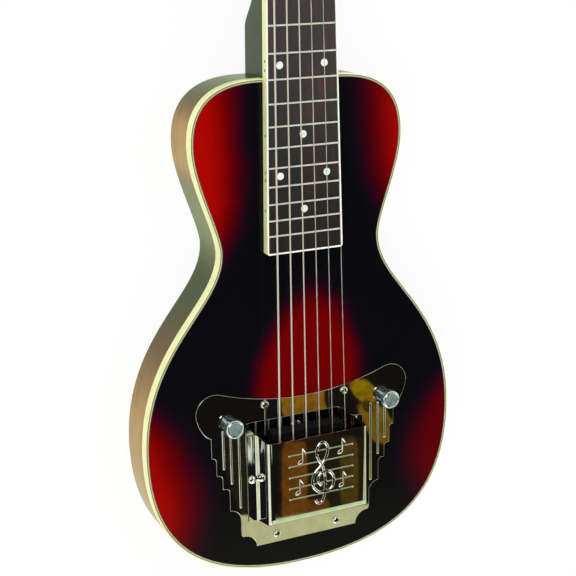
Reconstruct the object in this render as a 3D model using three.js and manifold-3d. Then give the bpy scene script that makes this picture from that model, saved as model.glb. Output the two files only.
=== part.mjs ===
// Lap steel guitar, lying on its back: +Z is up out of the face, +Y runs to the headstock,
// +X is the treble side. Lengths are in millimetres. Y is counted from the bridge line and
// Z from the body's back; the whole group is then centred along Y.
import * as THREE from 'three';
import { mergeVertices } from 'three/addons/utils/BufferGeometryUtils.js';
import Module from 'manifold-3d';

const wasm = await Module();
wasm.setup();

// Fits and facets
const fitGap = 0.3;
const runGap = 0.25;
const overrun = 2;
const boreSides = 8;
const hexSides = 6;
const smallSides = 10;
const roundSides = 20;
const outlineSteps = 12;
const cornerSteps = 5;
const ribEndSteps = 2;

// Scale, strings and their lie
const scaleLength = 571.5;
const fretCount = 20;
const octaveFret = 12;
const stringCount = 6;
const stringWidths = [1.4, 1.15, 0.9, 0.7, 0.5, 0.42];
const bridgeStringSpan = 53;
const nutStringSpan = 37.6;
const bridgeStringHeight = 14.2;
const nutStringHeight = 9.8;
const stringSides = 6;

// Body outline: widths are halves, drops are from the body's head end, reaches shape the curves
const bodyDepth = 39.2;
const tailReach = 73.3;
const lowerBoutHalf = 121.2;
const lowerBoutPlace = 31.5;
const waistHalf = 61.5;
const waistDrop = 115.9;
const upperBoutHalf = 79.6;
const upperBoutDrop = 43.2;
const neckSeatHalf = 30;
const neckSeatPastFret = 0.65;
const tailReachOut = 89;
const lowerBoutReachDown = 63.9;
const lowerBoutReachUp = 79.8;
const waistReachDown = 36.6;
const waistReachUp = 14.7;
const upperBoutReachDown = 24.3;
const upperBoutReachUp = 28.6;
const shoulderReachIn = 33.5;

// Edge binding of the body
const bindingWidth = 2.4;
const bindingHeight = 7;

// Hollow under the base plate, for the pots and the wires
const cavityDepth = 26;
const cavityHalf = 28;
const cavityTailPlace = -25;
const cavityHeadPlace = 40;
const channelPlace = 36;
const channelWidth = 14;
const potWellRadius = 15;

// Neck and headstock
const neckDepthAtNut = 22;
const neckDepthAtHeel = 25;
const heelDepth = 37.5;
const heelLength = 31.6;
const heelRun = 14;
const neckSideShare = 0.6;
const heelSideShare = 0.78;
const neckInset = 0.2;
const neckArcSteps = 12;
const neckRingCount = 7;
const heelRingCount = 8;
const headLength = 142;
const headThickness = 15;
const headDrop = 6;
const headShoulderHalf = 31;
const headShoulderPlace = 26;
const headEndHalf = 34;
const headEndCrown = 10;
const headWaistHalf = 29;

// Fretboard
const boardThickness = 6.8;
const boardOverhang = 13.2;
const boardEndHalf = 28.8;
const boardNutHalf = 21.05;
const boardBindingWidth = 1.6;
const fretWidth = 2.3;
const fretHeight = 1.05;
const fretTopWidth = 1.1;
const nutThickness = 6;

// Base plate: a stepped outline that ends in two round lobes under the knobs
const plateThickness = 1.2;
const plateTailPlace = -51.6;
const plateTailHalf = 40.5;
const tailCoveRadius = 9.7;
const plateHipHalf = 52.4;
const hipCuspRise = 5.5;
const hipTopPlace = -27.6;
const hipCoveRadius = 8;
const stepHalves = [60.4, 65.4, 69.8, 73.1];
const stepTopPlaces = [-4.6, 6.4, 20.6];
const stepCoveRadius = 2.8;
const lobeFootPlace = 38.6;
const lobeSpread = 69.8;
const lobePlace = 57.2;
const lobeRadius = 13.9;
const lobeFootBulge = 6.7;
const lobeFootRise = 1.9;
const lobeStartDegrees = -15;
const plateValleyPlace = 59;
const ribSpreads = [52.9, 59.1, 64.8];
const ribTailPlaces = [-18.5, 1.5, 13.7];
const ribHeadPlace = 43.4;
const ribWidth = 2.8;
const ribHeight = 1.1;
const leadHoleRadius = 2.5;
const leadHoleSpread = 33.5;

// Knobs, pots and their seats
const knobSpread = 61.5;
const knobPlace = 50.2;
const knobRadius = 6.8;
const knobNeckRadius = 4.9;
const knobNeckHeight = 9.4;
const knobFlareHeight = 2.2;
const knobHeight = 16.4;
const knobLift = 2.1;
const knobEdge = 0.6;
const knobDishRadius = 5.7;
const knobDishDepth = 0.7;
const potRadius = 12;
const potHeight = 9;
const potShaftRadius = 3;
const potShaftLength = 20;
const bushingRadius = 3.7;
const bushingLift = 1.3;
const dressNutRadius = 5.8;
const dressNutHeight = 1.5;

// Screws: a domed head with one slot, and a plain shank
const screwHeadRadius = 3;
const screwHeadHeight = 1.6;
const screwDomeShares = [[0.86, 0.55], [0.5, 0.9]];
const screwShankRadius = 1.4;
const screwLength = 14;
const screwSlotWidth = 0.9;
const screwSlotDepth = 0.7;
const plateScrewHeadSpread = 31.5;
const plateScrewHeadPlace = 57.2;
const plateScrewTailSpread = 24.2;
const plateScrewTailPlace = -45.1;

// Pickup cover: a bent sheet box, open towards the neck
const coverHalf = 39.5;
const coverHeadPlace = 36;
const coverTailPlace = -30;
const coverTailLean = 4.6;
const coverHeight = 23.6;
const coverSheet = 1;
const coverBend = 5;
const flangeWidth = 7.2;
const flangeTailPlace = -29.5;
const flangeScrewSpread = 43.4;
const flangeScrewPlace = 2.3;

// Pickup under the cover
const bobbinHalf = 29;
const bobbinPlace = 20;
const bobbinWidth = 20;
const bobbinHeight = 9;
const bobbinFlange = 1.4;
const bobbinCoreWidth = 7;
const coilHalf = 27.5;
const coilWidth = 17;
const bladeWidth = 3;
const bladeHalf = 28;
const bladeRise = 1.4;
const magnetWidth = 5;
const magnetHeight = 6;

// Bridge bar and string anchor
const bridgeWidth = 7;
const bridgeHalf = 31;
const bridgeCrestWidth = 2.4;
const anchorPlace = -18;
const anchorThickness = 2;
const anchorFootLength = 9;
const anchorHeight = 12.6;
const anchorHoleRadius = 1.2;
const anchorStringHeight = 9.6;
const ballRadius = 1.9;
const ballLength = 3.6;

// Capacitor between the pots
const capacitorRadius = 4;
const capacitorLength = 18;

// Output jack in the tail
const jackSeatDepth = 0.8;
const jackSeatHalf = 15;
const jackPlateRadius = 13;
const jackPlateThickness = 1.5;
const jackBoreRadius = 11;
const jackBarrelRadius = 4.75;
const jackSocketRadius = 3.3;
const jackSocketDepth = 26;
const jackCanRadius = 8;
const jackCanLength = 22;
const jackStickOut = 3.6;
const jackEndWall = 1.5;
const jackNutRadius = 7;
const jackNutThickness = 2.2;

// Tuners: three a side, open gears behind the head
const tunerPitch = 36;
const tunerFirstPlace = 31;
const postSpread = 18;
const postRadius = 3;
const postRise = 13;
const postHoleRadius = 0.8;
const postHoleHeight = 8.5;
const postWaistShare = 0.84;
const postTipShare = 0.75;
const gearTeeth = 12;
const gearTipRadius = 5.9;
const gearRootRadius = 4.7;
const gearThickness = 3.4;
const toothFootShare = 0.36;
const toothTipShare = 0.16;
const gearScrewRadius = 2.4;
const gearScrewHeight = 1.1;
const wormRadius = 3.2;
const wormRootRadius = 2.3;
const wormTurns = 3;
const wormShaftRadius = 1.7;
const earThickness = 2.4;
const earWidth = 7;
const earDrop = 3.1;
const tunerPlateThickness = 1.2;
const tunerPlateInner = 8.4;
const tunerPlateOuter = 28.4;
const tunerPlateMargin = 13;
const buttonClearance = 3;
const buttonLength = 15;
const buttonRadius = 8.6;
const buttonNeckRadius = 3.4;
const buttonThicknessShare = 0.5;

// Heights and places that follow from the sizes above
const top = bodyDepth;
const plateTop = top + plateThickness;
const boardTop = top + boardThickness;
const headFace = top - headDrop;
const headBack = headFace - headThickness;
const nutPlace = scaleLength;
const nutBack = nutPlace + nutThickness;
const headEnd = nutBack + headLength;
const bodyHeadPlace = fretPlace(octaveFret) + neckSeatPastFret;
const upperBoutPlace = bodyHeadPlace - upperBoutDrop;
const waistPlace = bodyHeadPlace - waistDrop;
const heelFullPlace = bodyHeadPlace + heelLength;
const heelStartPlace = heelFullPlace + heelRun;
const boardEndPlace = fretPlace(fretCount) - boardOverhang;
const jackSeatPlace = -tailReach + jackSeatDepth;
const jackEnd = jackSeatPlace - jackPlateThickness - jackStickOut;
const jackHeight = bodyDepth / 2;
const potTop = top - fitGap;
const wormOffset = gearTipRadius + wormRadius + runGap;
const wormHeight = headBack - tunerPlateThickness - runGap - wormRadius;
const gearTop = wormHeight + gearThickness / 2;

const finish = {
  lacquer: material(0x4a0806, 0.25, 0),
  blackLacquer: material(0x141214, 0.25, 0),
  cream: material(0xf2ecc4, 0.4, 0),
  rosewood: material(0x3a2c28, 0.6, 0),
  nickel: material(0xd8d8d2, 0.3, 1),
  chrome: material(0xe4e6e4, 0.12, 1),
  bone: material(0xf0ead6, 0.45, 0),
  steel: material(0xb8babc, 0.35, 1),
  wound: material(0xc9c4b6, 0.4, 1),
  brass: material(0xc8a24a, 0.35, 1),
  fibre: material(0x1c1a18, 0.7, 0),
  copper: material(0xa8562c, 0.5, 0.6),
  film: material(0xb06a28, 0.45, 0),
  button: material(0xece4cc, 0.35, 0),
};

function material(color, roughness, metalness) {
  return new THREE.MeshStandardMaterial({ color, roughness, metalness });
}

// Place of a fret from the bridge line, by the twelve-tone rule
function fretPlace(fret) {
  return scaleLength * 2 ** (-fret / octaveFret);
}

// Half width of the fretboard, binding included
function boardHalf(place) {
  const along = (place - boardEndPlace) / (scaleLength - boardEndPlace);
  return THREE.MathUtils.lerp(boardEndHalf, boardNutHalf, along);
}

function stringOffset(index, span) {
  return span * (index / (stringCount - 1) - 1 / 2);
}

// A three.js geometry as a solid that can be joined and cut, faces turned outwards
function solid(geometry) {
  const bare = geometry.clone();
  bare.deleteAttribute('normal');
  bare.deleteAttribute('uv');
  const welded = mergeVertices(bare);
  const corners = welded.index.array;
  const kept = [];
  for (let i = 0; i < corners.length; i += 3) {
    const [a, b, c] = [corners[i], corners[i + 1], corners[i + 2]];
    if (a !== b && b !== c && c !== a) kept.push(a, b, c);
  }
  const make = (triangles) => new wasm.Manifold(new wasm.Mesh({
    numProp: 3,
    vertProperties: new Float32Array(welded.attributes.position.array),
    triVerts: new Uint32Array(triangles),
  }));
  const made = make(kept);
  return made.volume() > 0 ? made : make(kept.reverse());
}

function geometryOf(body) {
  const { vertProperties, triVerts } = body.getMesh();
  const geometry = new THREE.BufferGeometry();
  geometry.setAttribute('position', new THREE.BufferAttribute(vertProperties, 3));
  geometry.setIndex(new THREE.BufferAttribute(triVerts, 1));
  geometry.computeVertexNormals();
  return geometry;
}

function joined(parts) {
  return parts.reduce((whole, part) => whole.add(part));
}

function without(body, cuts) {
  return cuts.reduce((rest, cut) => rest.subtract(cut), body);
}

function piece(name, body, surface, place = [0, 0, 0]) {
  const mesh = new THREE.Mesh(geometryOf(body), surface);
  mesh.name = name;
  mesh.position.set(...place);
  return mesh;
}

// Straight-sided solid over a shape, from one height to another
function slab(shape, low, high, steps = cornerSteps) {
  const settings = { depth: high - low, bevelEnabled: false, curveSegments: steps };
  return solid(new THREE.ExtrudeGeometry(shape, settings).translate(0, 0, low));
}

function block(xs, ys, zs) {
  const [width, length, height] = [xs[1] - xs[0], ys[1] - ys[0], zs[1] - zs[0]];
  const box = new THREE.BoxGeometry(width, length, height);
  return solid(box.translate((xs[0] + xs[1]) / 2, (ys[0] + ys[1]) / 2, (zs[0] + zs[1]) / 2));
}

// Upright rod on a place, from one height to another
function rod(radius, low, high, x = 0, y = 0, sides = smallSides) {
  const cylinder = new THREE.CylinderGeometry(radius, radius, high - low, sides);
  return solid(cylinder.rotateX(Math.PI / 2).translate(x, y, (low + high) / 2));
}

// Round solid about Z from a profile of [radius, height] pairs
function turned(profile, sides = roundSides) {
  const points = profile.map(([radius, height]) => new THREE.Vector2(radius, height));
  return solid(new THREE.LatheGeometry(points, sides).rotateX(Math.PI / 2));
}

// Closed skin over rings of equally many points
function loft(rings) {
  const count = rings[0].length;
  const positions = rings.flat().flatMap((point) => [point.x, point.y, point.z]);
  const index = [];
  for (let ring = 0; ring < rings.length - 1; ring += 1) {
    for (let i = 0; i < count; i += 1) {
      const [a, b] = [ring * count + i, ring * count + ((i + 1) % count)];
      index.push(a, b, b + count, a, b + count, a + count);
    }
  }
  const last = (rings.length - 1) * count;
  for (let i = 1; i < count - 1; i += 1) index.push(0, i + 1, i, last, last + i, last + i + 1);
  const geometry = new THREE.BufferGeometry();
  geometry.setAttribute('position', new THREE.Float32BufferAttribute(positions, 3));
  geometry.setIndex(index);
  return solid(geometry);
}

// Thin round wire through points, with a ring of the wire's section at each point
function wire(points, radius) {
  const across = new THREE.Vector3(1, 0, 0);
  const rings = points.map((point, i) => {
    const before = points[Math.max(i - 1, 0)];
    const after = points[Math.min(i + 1, points.length - 1)];
    const along = after.clone().sub(before).normalize();
    const up = across.clone().cross(along).normalize();
    const side = along.clone().cross(up);
    return Array.from({ length: stringSides }, (_, k) => {
      const turn = (2 * Math.PI * k) / stringSides;
      const out = side.clone().multiplyScalar(Math.cos(turn)).addScaledVector(up, Math.sin(turn));
      return point.clone().addScaledVector(out, radius);
    });
  });
  return loft(rings);
}

function mirrored(points) {
  return points.map((point) => new THREE.Vector2(-point.x, point.y)).reverse();
}

// Treble half of the body's edge, from the tail to the neck seat
function bodyHalfPoints() {
  const path = new THREE.Path();
  path.moveTo(0, -tailReach);
  path.bezierCurveTo(
    tailReachOut, -tailReach,
    lowerBoutHalf, lowerBoutPlace - lowerBoutReachDown,
    lowerBoutHalf, lowerBoutPlace,
  );
  path.bezierCurveTo(
    lowerBoutHalf, lowerBoutPlace + lowerBoutReachUp,
    waistHalf, waistPlace - waistReachDown,
    waistHalf, waistPlace,
  );
  path.bezierCurveTo(
    waistHalf, waistPlace + waistReachUp,
    upperBoutHalf, upperBoutPlace - upperBoutReachDown,
    upperBoutHalf, upperBoutPlace,
  );
  path.bezierCurveTo(
    upperBoutHalf, upperBoutPlace + upperBoutReachUp,
    neckSeatHalf + shoulderReachIn, bodyHeadPlace,
    neckSeatHalf, bodyHeadPlace,
  );
  return path.getPoints(outlineSteps);
}

// Body edge drawn in by a distance, square to the edge at each point
function bodyOutline(inset) {
  const half = bodyHalfPoints();
  const points = [...half, ...mirrored(half).slice(0, -1)];
  const count = points.length;
  return points.map((point, i) => {
    const along = points[(i + 1) % count].clone().sub(points[(i + count - 1) % count]).normalize();
    return new THREE.Vector2(point.x - along.y * inset, point.y + along.x * inset);
  });
}

function makeBody() {
  const edge = new THREE.Shape(bodyOutline(0));
  const face = new THREE.Shape(bodyOutline(bindingWidth + fitGap));
  const rebate = top - bindingHeight;
  const wood = joined([slab(edge, 0, rebate), slab(face, rebate, top)]);
  const pilots = [...plateScrewPlaces(), ...flangeScrewPlaces()].map(([x, y]) => (
    rod(screwShankRadius + fitGap, plateTop - screwLength - fitGap, top + overrun, x, y)
  ));
  return piece('body', without(wood, [...cavityCuts(), ...jackCuts(), ...pilots]), finish.lacquer);
}

// The hollow for pots and wires, with a well for each pot and a channel to it
function cavityCuts() {
  const heights = [top - cavityDepth, top + overrun];
  const sides = [channelPlace - channelWidth / 2, channelPlace + channelWidth / 2];
  return [
    block([-cavityHalf, cavityHalf], [cavityTailPlace, cavityHeadPlace], heights),
    block([-knobSpread, knobSpread], sides, heights),
    rod(potWellRadius, ...heights, knobSpread, knobPlace, roundSides),
    rod(potWellRadius, ...heights, -knobSpread, knobPlace, roundSides),
  ];
}

// Flat seat for the jack plate across the tail, cut from a height upwards
function jackSeatCut(low) {
  const ys = [-tailReach - overrun, jackSeatPlace];
  return block([-jackSeatHalf, jackSeatHalf], ys, [low, top + overrun]);
}

function jackCuts() {
  const seat = jackSeatCut(-overrun);
  const length = tailReach + overrun + cavityTailPlace + overrun;
  const bore = new THREE.CylinderGeometry(jackBoreRadius, jackBoreRadius, length, roundSides);
  bore.translate(0, -tailReach - overrun + length / 2, jackHeight);
  return [seat, solid(bore)];
}

function makeBinding() {
  const low = top - bindingHeight;
  const outer = slab(new THREE.Shape(bodyOutline(0)), low, top);
  const inner = slab(new THREE.Shape(bodyOutline(bindingWidth)), low - overrun, top + overrun);
  return piece('body_binding', without(outer, [inner, jackSeatCut(low - overrun)]), finish.cream);
}

// Section of the neck: a flat top, short straight sides and a round back
function neckRing(place, depth, sideShare) {
  const half = boardHalf(place) - neckInset;
  const side = depth * sideShare;
  const ring = [new THREE.Vector3(half, place, top)];
  for (let i = 0; i <= neckArcSteps; i += 1) {
    const turn = (Math.PI * i) / neckArcSteps;
    const drop = side + (depth - side) * Math.sin(turn);
    ring.push(new THREE.Vector3(half * Math.cos(turn), place, top - drop));
  }
  ring.push(new THREE.Vector3(-half, place, top));
  return ring;
}

function neckRings() {
  const rings = [neckRing(bodyHeadPlace, heelDepth, heelSideShare)];
  for (let i = 0; i <= heelRingCount; i += 1) {
    const along = i / heelRingCount;
    const blend = THREE.MathUtils.smoothstep(along, 0, 1);
    rings.push(neckRing(
      THREE.MathUtils.lerp(heelFullPlace, heelStartPlace, along),
      THREE.MathUtils.lerp(heelDepth, neckDepthAtHeel, blend),
      THREE.MathUtils.lerp(heelSideShare, neckSideShare, blend),
    ));
  }
  for (let i = 1; i <= neckRingCount; i += 1) {
    const along = i / neckRingCount;
    const place = THREE.MathUtils.lerp(heelStartPlace, nutBack, along);
    const depth = THREE.MathUtils.lerp(neckDepthAtHeel, neckDepthAtNut, along);
    rings.push(neckRing(place, depth, neckSideShare));
  }
  return rings;
}

function headShape() {
  const rootHalf = boardHalf(nutPlace) - neckInset;
  const shoulder = nutBack + headShoulderPlace;
  const shape = new THREE.Shape();
  shape.moveTo(-rootHalf, nutPlace);
  shape.lineTo(rootHalf, nutPlace);
  shape.lineTo(rootHalf, nutBack);
  shape.bezierCurveTo(
    rootHalf, (nutBack + shoulder) / 2,
    headShoulderHalf, (nutBack + shoulder) / 2,
    headShoulderHalf, shoulder,
  );
  shape.quadraticCurveTo(headWaistHalf, (shoulder + headEnd) / 2, headEndHalf, headEnd - headEndCrown);
  shape.quadraticCurveTo(headEndHalf / 2, headEnd, 0, headEnd);
  shape.quadraticCurveTo(-headEndHalf / 2, headEnd, -headEndHalf, headEnd - headEndCrown);
  shape.quadraticCurveTo(-headWaistHalf, (shoulder + headEnd) / 2, -headShoulderHalf, shoulder);
  shape.bezierCurveTo(
    -headShoulderHalf, (nutBack + shoulder) / 2,
    -rootHalf, (nutBack + shoulder) / 2,
    -rootHalf, nutBack,
  );
  return shape;
}

function makeNeck() {
  const wood = joined([loft(neckRings()), slab(headShape(), headBack, headFace)]);
  const holes = tunerPlaces().map(({ x, y }) => (
    rod(postRadius + fitGap, headBack - overrun, headFace + overrun, x, y)
  ));
  return piece('neck', without(wood, holes), finish.blackLacquer);
}

// Tapered outline of the board; an inset draws in its sides and its body end
function boardShape(inset) {
  const end = boardEndPlace + inset;
  return new THREE.Shape([
    new THREE.Vector2(-boardHalf(end) + inset, end),
    new THREE.Vector2(boardHalf(end) - inset, end),
    new THREE.Vector2(boardHalf(nutPlace) - inset, nutPlace),
    new THREE.Vector2(-boardHalf(nutPlace) + inset, nutPlace),
  ]);
}

// The board with its fret wires seated in it
function makeFretboard() {
  const wood = slab(boardShape(boardBindingWidth + fitGap), top, boardTop);
  const frets = Array.from({ length: fretCount }, (_, i) => fretWire(i + 1));
  return piece('fretboard', joined([wood, ...frets]), finish.rosewood);
}

// Fret wire: a low crown seen from its end, drawn out across the board
function fretWire(fret) {
  const place = fretPlace(fret);
  const half = boardHalf(place) - boardBindingWidth - fitGap;
  const crown = new THREE.Shape([
    new THREE.Vector2(-fretWidth / 2, -fretHeight),
    new THREE.Vector2(fretWidth / 2, -fretHeight),
    new THREE.Vector2(fretWidth / 2, 0),
    new THREE.Vector2(fretTopWidth / 2, fretHeight),
    new THREE.Vector2(-fretTopWidth / 2, fretHeight),
    new THREE.Vector2(-fretWidth / 2, 0),
  ]);
  return barAcross(crown, half).translate([0, place, boardTop]);
}

// A section given in Y and Z, drawn out to both sides along X
function barAcross(section, half) {
  const bar = new THREE.ExtrudeGeometry(section, { depth: 2 * half, bevelEnabled: false });
  return solid(bar.translate(0, 0, -half).rotateX(Math.PI / 2).rotateZ(Math.PI / 2));
}

function makeBoardBinding() {
  const outer = slab(boardShape(0), top, boardTop);
  const inner = slab(boardShape(boardBindingWidth), top - overrun, boardTop + overrun);
  const nutEnd = [nutPlace - fitGap, nutPlace + overrun];
  const open = block([-boardEndHalf, boardEndHalf], nutEnd, [0, boardTop + overrun]);
  return piece('fretboard_binding', without(outer, [inner, open]), finish.cream);
}

// Height of a string's middle above the body's face, anywhere along the scale
function stringHeight(place) {
  return top + THREE.MathUtils.lerp(bridgeStringHeight, nutStringHeight, place / scaleLength);
}

// Open slot that a string lies in, cut down into a bar at a place
function stringSlot(index, span, place, reach, height) {
  const half = stringWidths[index] / 2 + fitGap;
  const x = stringOffset(index, span);
  const zs = [height - half, height + 2 * overrun];
  return block([x - half, x + half], [place - reach, place + reach], zs);
}

function makeNut() {
  const half = boardHalf(nutPlace);
  const bar = block([-half, half], [nutPlace + fitGap, nutBack], [top, stringHeight(nutPlace)]);
  const slots = stringWidths.map((_, i) => (
    stringSlot(i, nutStringSpan, nutPlace, nutThickness + overrun, stringHeight(nutPlace))
  ));
  return piece('nut', without(bar, slots), finish.bone);
}

// A string runs from its ball over the bridge and the nut to the side of its post
function makeString(index) {
  const radius = stringWidths[index] / 2;
  const bridgeX = stringOffset(index, bridgeStringSpan);
  const nutX = stringOffset(index, nutStringSpan);
  const { x, y } = tunerPlaces()[index];
  const touch = x - Math.sign(x) * (postRadius + radius + fitGap);
  const back = anchorPlace - anchorThickness / 2 - fitGap;
  const points = [
    new THREE.Vector3(bridgeX, back - ballLength / 2, top + anchorStringHeight),
    new THREE.Vector3(bridgeX, anchorPlace + anchorThickness, top + anchorStringHeight),
    new THREE.Vector3(bridgeX, 0, stringHeight(0)),
    new THREE.Vector3(nutX, nutPlace, stringHeight(nutPlace)),
    new THREE.Vector3(nutX, nutBack, stringHeight(nutPlace) - radius / 2),
    new THREE.Vector3(touch, y, headFace + postHoleHeight),
  ];
  const ball = new THREE.CylinderGeometry(ballRadius, ballRadius, ballLength, smallSides);
  ball.translate(bridgeX, back - ballLength / 2, top + anchorStringHeight);
  const surface = index < stringCount / 2 ? finish.wound : finish.steel;
  return piece(`string_${index + 1}`, wire(points, radius).add(solid(ball)), surface);
}

// Treble half of the base plate's edge, from the tail to the valley under the strings
function plateHalfPoints() {
  const path = new THREE.Path();
  const cove = (half, place, radius) => {
    path.absarc(half + radius, place, radius, Math.PI, Math.PI / 2, true);
  };
  path.moveTo(0, plateTailPlace);
  path.lineTo(plateTailHalf, plateTailPlace);
  cove(plateTailHalf, plateTailPlace, tailCoveRadius);
  const cusp = plateTailPlace + tailCoveRadius;
  path.quadraticCurveTo(plateHipHalf, cusp, plateHipHalf, cusp + hipCuspRise);
  path.lineTo(plateHipHalf, hipTopPlace);
  cove(plateHipHalf, hipTopPlace, hipCoveRadius);
  stepTopPlaces.forEach((place, i) => {
    path.lineTo(stepHalves[i], place);
    cove(stepHalves[i], place, stepCoveRadius);
    path.lineTo(stepHalves[i + 1], place + stepCoveRadius);
  });
  const foot = stepHalves[stepHalves.length - 1];
  path.lineTo(foot, lobeFootPlace);
  const start = THREE.MathUtils.degToRad(lobeStartDegrees);
  path.quadraticCurveTo(
    foot + lobeFootBulge, lobeFootPlace + lobeFootRise,
    lobeSpread + lobeRadius * Math.cos(start), lobePlace + lobeRadius * Math.sin(start),
  );
  const valley = valleyRadius();
  const slope = Math.atan2(plateValleyPlace + valley - lobePlace, -lobeSpread);
  path.absarc(lobeSpread, lobePlace, lobeRadius, start, slope, false);
  path.absarc(0, plateValleyPlace + valley, valley, slope - Math.PI, -Math.PI / 2, true);
  return path.getPoints(cornerSteps);
}

// Radius of the hollow curve that touches both lobes and the valley point
function valleyRadius() {
  const rise = plateValleyPlace - lobePlace;
  return (lobeSpread ** 2 + rise ** 2 - lobeRadius ** 2) / (2 * (lobeRadius - rise));
}

function plateScrewPlaces() {
  return [-1, 1].flatMap((side) => [
    [side * plateScrewHeadSpread, plateScrewHeadPlace],
    [side * plateScrewTailSpread, plateScrewTailPlace],
  ]);
}

function flangeScrewPlaces() {
  return [-1, 1].map((side) => [side * flangeScrewSpread, flangeScrewPlace]);
}

// Raised ribs below a knob: half rods that lie on the plate, with round ends
function ribs(side) {
  return ribSpreads.map((spread, i) => {
    const length = ribHeadPlace - ribTailPlaces[i];
    const bar = new THREE.CapsuleGeometry(ribWidth / 2, length - ribWidth, ribEndSteps, boreSides);
    bar.scale(1, 1, (2 * ribHeight) / ribWidth);
    bar.translate(side * spread, (ribHeadPlace + ribTailPlaces[i]) / 2, plateTop);
    const below = block(
      [side * spread - ribWidth, side * spread + ribWidth],
      [ribTailPlaces[i] - overrun, ribHeadPlace + overrun],
      [plateTop - ribWidth, plateTop - plateThickness / 2],
    );
    return solid(bar).subtract(below);
  });
}

function makeBasePlate() {
  const half = plateHalfPoints();
  const outline = new THREE.Shape([...half, ...mirrored(half).slice(1, -1)]);
  const sheet = joined([slab(outline, top, plateTop), ...ribs(-1), ...ribs(1)]);
  const hole = (radius, x, y) => rod(radius, top - overrun, plateTop + overrun, x, y);
  const holes = [...plateScrewPlaces(), ...flangeScrewPlaces()].map(([x, y]) => (
    hole(screwShankRadius + fitGap, x, y)
  ));
  holes.push(hole(bushingRadius + fitGap, -knobSpread, knobPlace));
  holes.push(hole(bushingRadius + fitGap, knobSpread, knobPlace));
  holes.push(hole(leadHoleRadius, leadHoleSpread, bobbinPlace));
  return piece('base_plate', without(sheet, holes), finish.chrome);
}

// Round-head wood screw that stands on z = 0
function screwBody(length) {
  const profile = [
    [0, -length],
    [screwShankRadius, -length + screwShankRadius],
    [screwShankRadius, 0],
    [screwHeadRadius, 0],
    ...screwDomeShares.map(([out, up]) => [screwHeadRadius * out, screwHeadHeight * up]),
    [0, screwHeadHeight],
  ];
  const slot = block(
    [-screwHeadRadius - overrun, screwHeadRadius + overrun],
    [-screwSlotWidth / 2, screwSlotWidth / 2],
    [screwHeadHeight - screwSlotDepth, screwHeadHeight + overrun],
  );
  return turned(profile, smallSides).subtract(slot);
}

function makePlateScrews() {
  return plateScrewPlaces().map(([x, y], i) => (
    piece(`plate_screw_${i + 1}`, screwBody(screwLength), finish.nickel, [x, y, plateTop])
  ));
}

function makeCoverScrews() {
  const seat = plateTop + coverSheet;
  return flangeScrewPlaces().map(([x, y]) => (
    piece(`cover_screw_${sideName(x)}`, screwBody(screwLength), finish.nickel, [x, y, seat])
  ));
}

// Two distances from the middle as a low and a high X on one side
function bothEdges(side, inner, outer) {
  return side < 0 ? [-outer, -inner] : [inner, outer];
}

function sideName(x) {
  return x < 0 ? 'bass' : 'treble';
}

// Section with two rounded upper corners, over z = 0, whose left side may lean in
function hoodShape(left, right, height, bend, lean = 0) {
  const shape = new THREE.Shape();
  shape.moveTo(left, 0);
  shape.lineTo(right, 0);
  shape.lineTo(right, height - bend);
  shape.absarc(right - bend, height - bend, bend, 0, Math.PI / 2, false);
  shape.lineTo(left + lean + bend, height);
  shape.absarc(left + lean + bend, height - bend, bend, Math.PI / 2, Math.PI, false);
  return shape;
}

// The hood of the cover: bends along both sides and along the tail, cut off square at the neck
function hood(inset) {
  const height = coverHeight - inset;
  const bend = coverBend - inset;
  const half = coverHalf - inset;
  const tail = coverTailPlace + inset;
  const head = coverHeadPlace + coverBend + overrun;
  const across = new THREE.ExtrudeGeometry(
    hoodShape(-half, half, height, bend),
    { depth: head - tail, bevelEnabled: false, curveSegments: cornerSteps },
  ).rotateX(Math.PI / 2).translate(0, head, 0);
  const along = new THREE.ExtrudeGeometry(
    hoodShape(tail, head + coverBend, height, bend, coverTailLean),
    { depth: 2 * half, bevelEnabled: false, curveSegments: cornerSteps },
  ).rotateX(Math.PI / 2).rotateZ(Math.PI / 2).translate(-half, 0, 0);
  return solid(across).intersect(solid(along));
}

function makeCover() {
  const past = coverHalf + overrun;
  const ends = [coverHeadPlace, coverHeadPlace + 2 * (coverBend + overrun)];
  const neckSide = block([-past, past], ends, [-overrun, coverHeight + overrun]);
  const shell = hood(0).subtract(hood(coverSheet)).subtract(neckSide);
  const under = block(
    [-coverHalf + coverSheet, coverHalf - coverSheet],
    [coverTailPlace + coverSheet, coverHeadPlace + overrun],
    [-overrun, coverSheet],
  );
  const flanges = [-1, 1].map((side) => {
    const edges = bothEdges(side, coverHalf - coverSheet / 2, coverHalf + flangeWidth);
    const foot = block(edges, [flangeTailPlace, coverHeadPlace], [0, coverSheet]);
    const [low, high] = [-overrun, coverSheet + overrun];
    const x = side * flangeScrewSpread;
    return foot.subtract(rod(screwShankRadius + fitGap, low, high, x, flangeScrewPlace));
  });
  const whole = joined([shell.subtract(under), ...flanges]);
  return piece('pickup_cover', whole, finish.chrome, [0, 0, plateTop]);
}

function makeBobbin() {
  const [tail, head] = [bobbinPlace - bobbinWidth / 2, bobbinPlace + bobbinWidth / 2];
  const core = [bobbinPlace - bobbinCoreWidth / 2, bobbinPlace + bobbinCoreWidth / 2];
  const coreHalf = coilHalf - (coilWidth - bobbinCoreWidth) / 2;
  const spool = joined([
    block([-bobbinHalf, bobbinHalf], [tail, head], [0, bobbinFlange]),
    block([-coreHalf, coreHalf], core, [0, bobbinHeight]),
    block([-bobbinHalf, bobbinHalf], [tail, head], [bobbinHeight - bobbinFlange, bobbinHeight]),
  ]);
  return piece('pickup_bobbin', spool.subtract(bladeBlock(fitGap)), finish.fibre, [0, 0, plateTop]);
}

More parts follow.
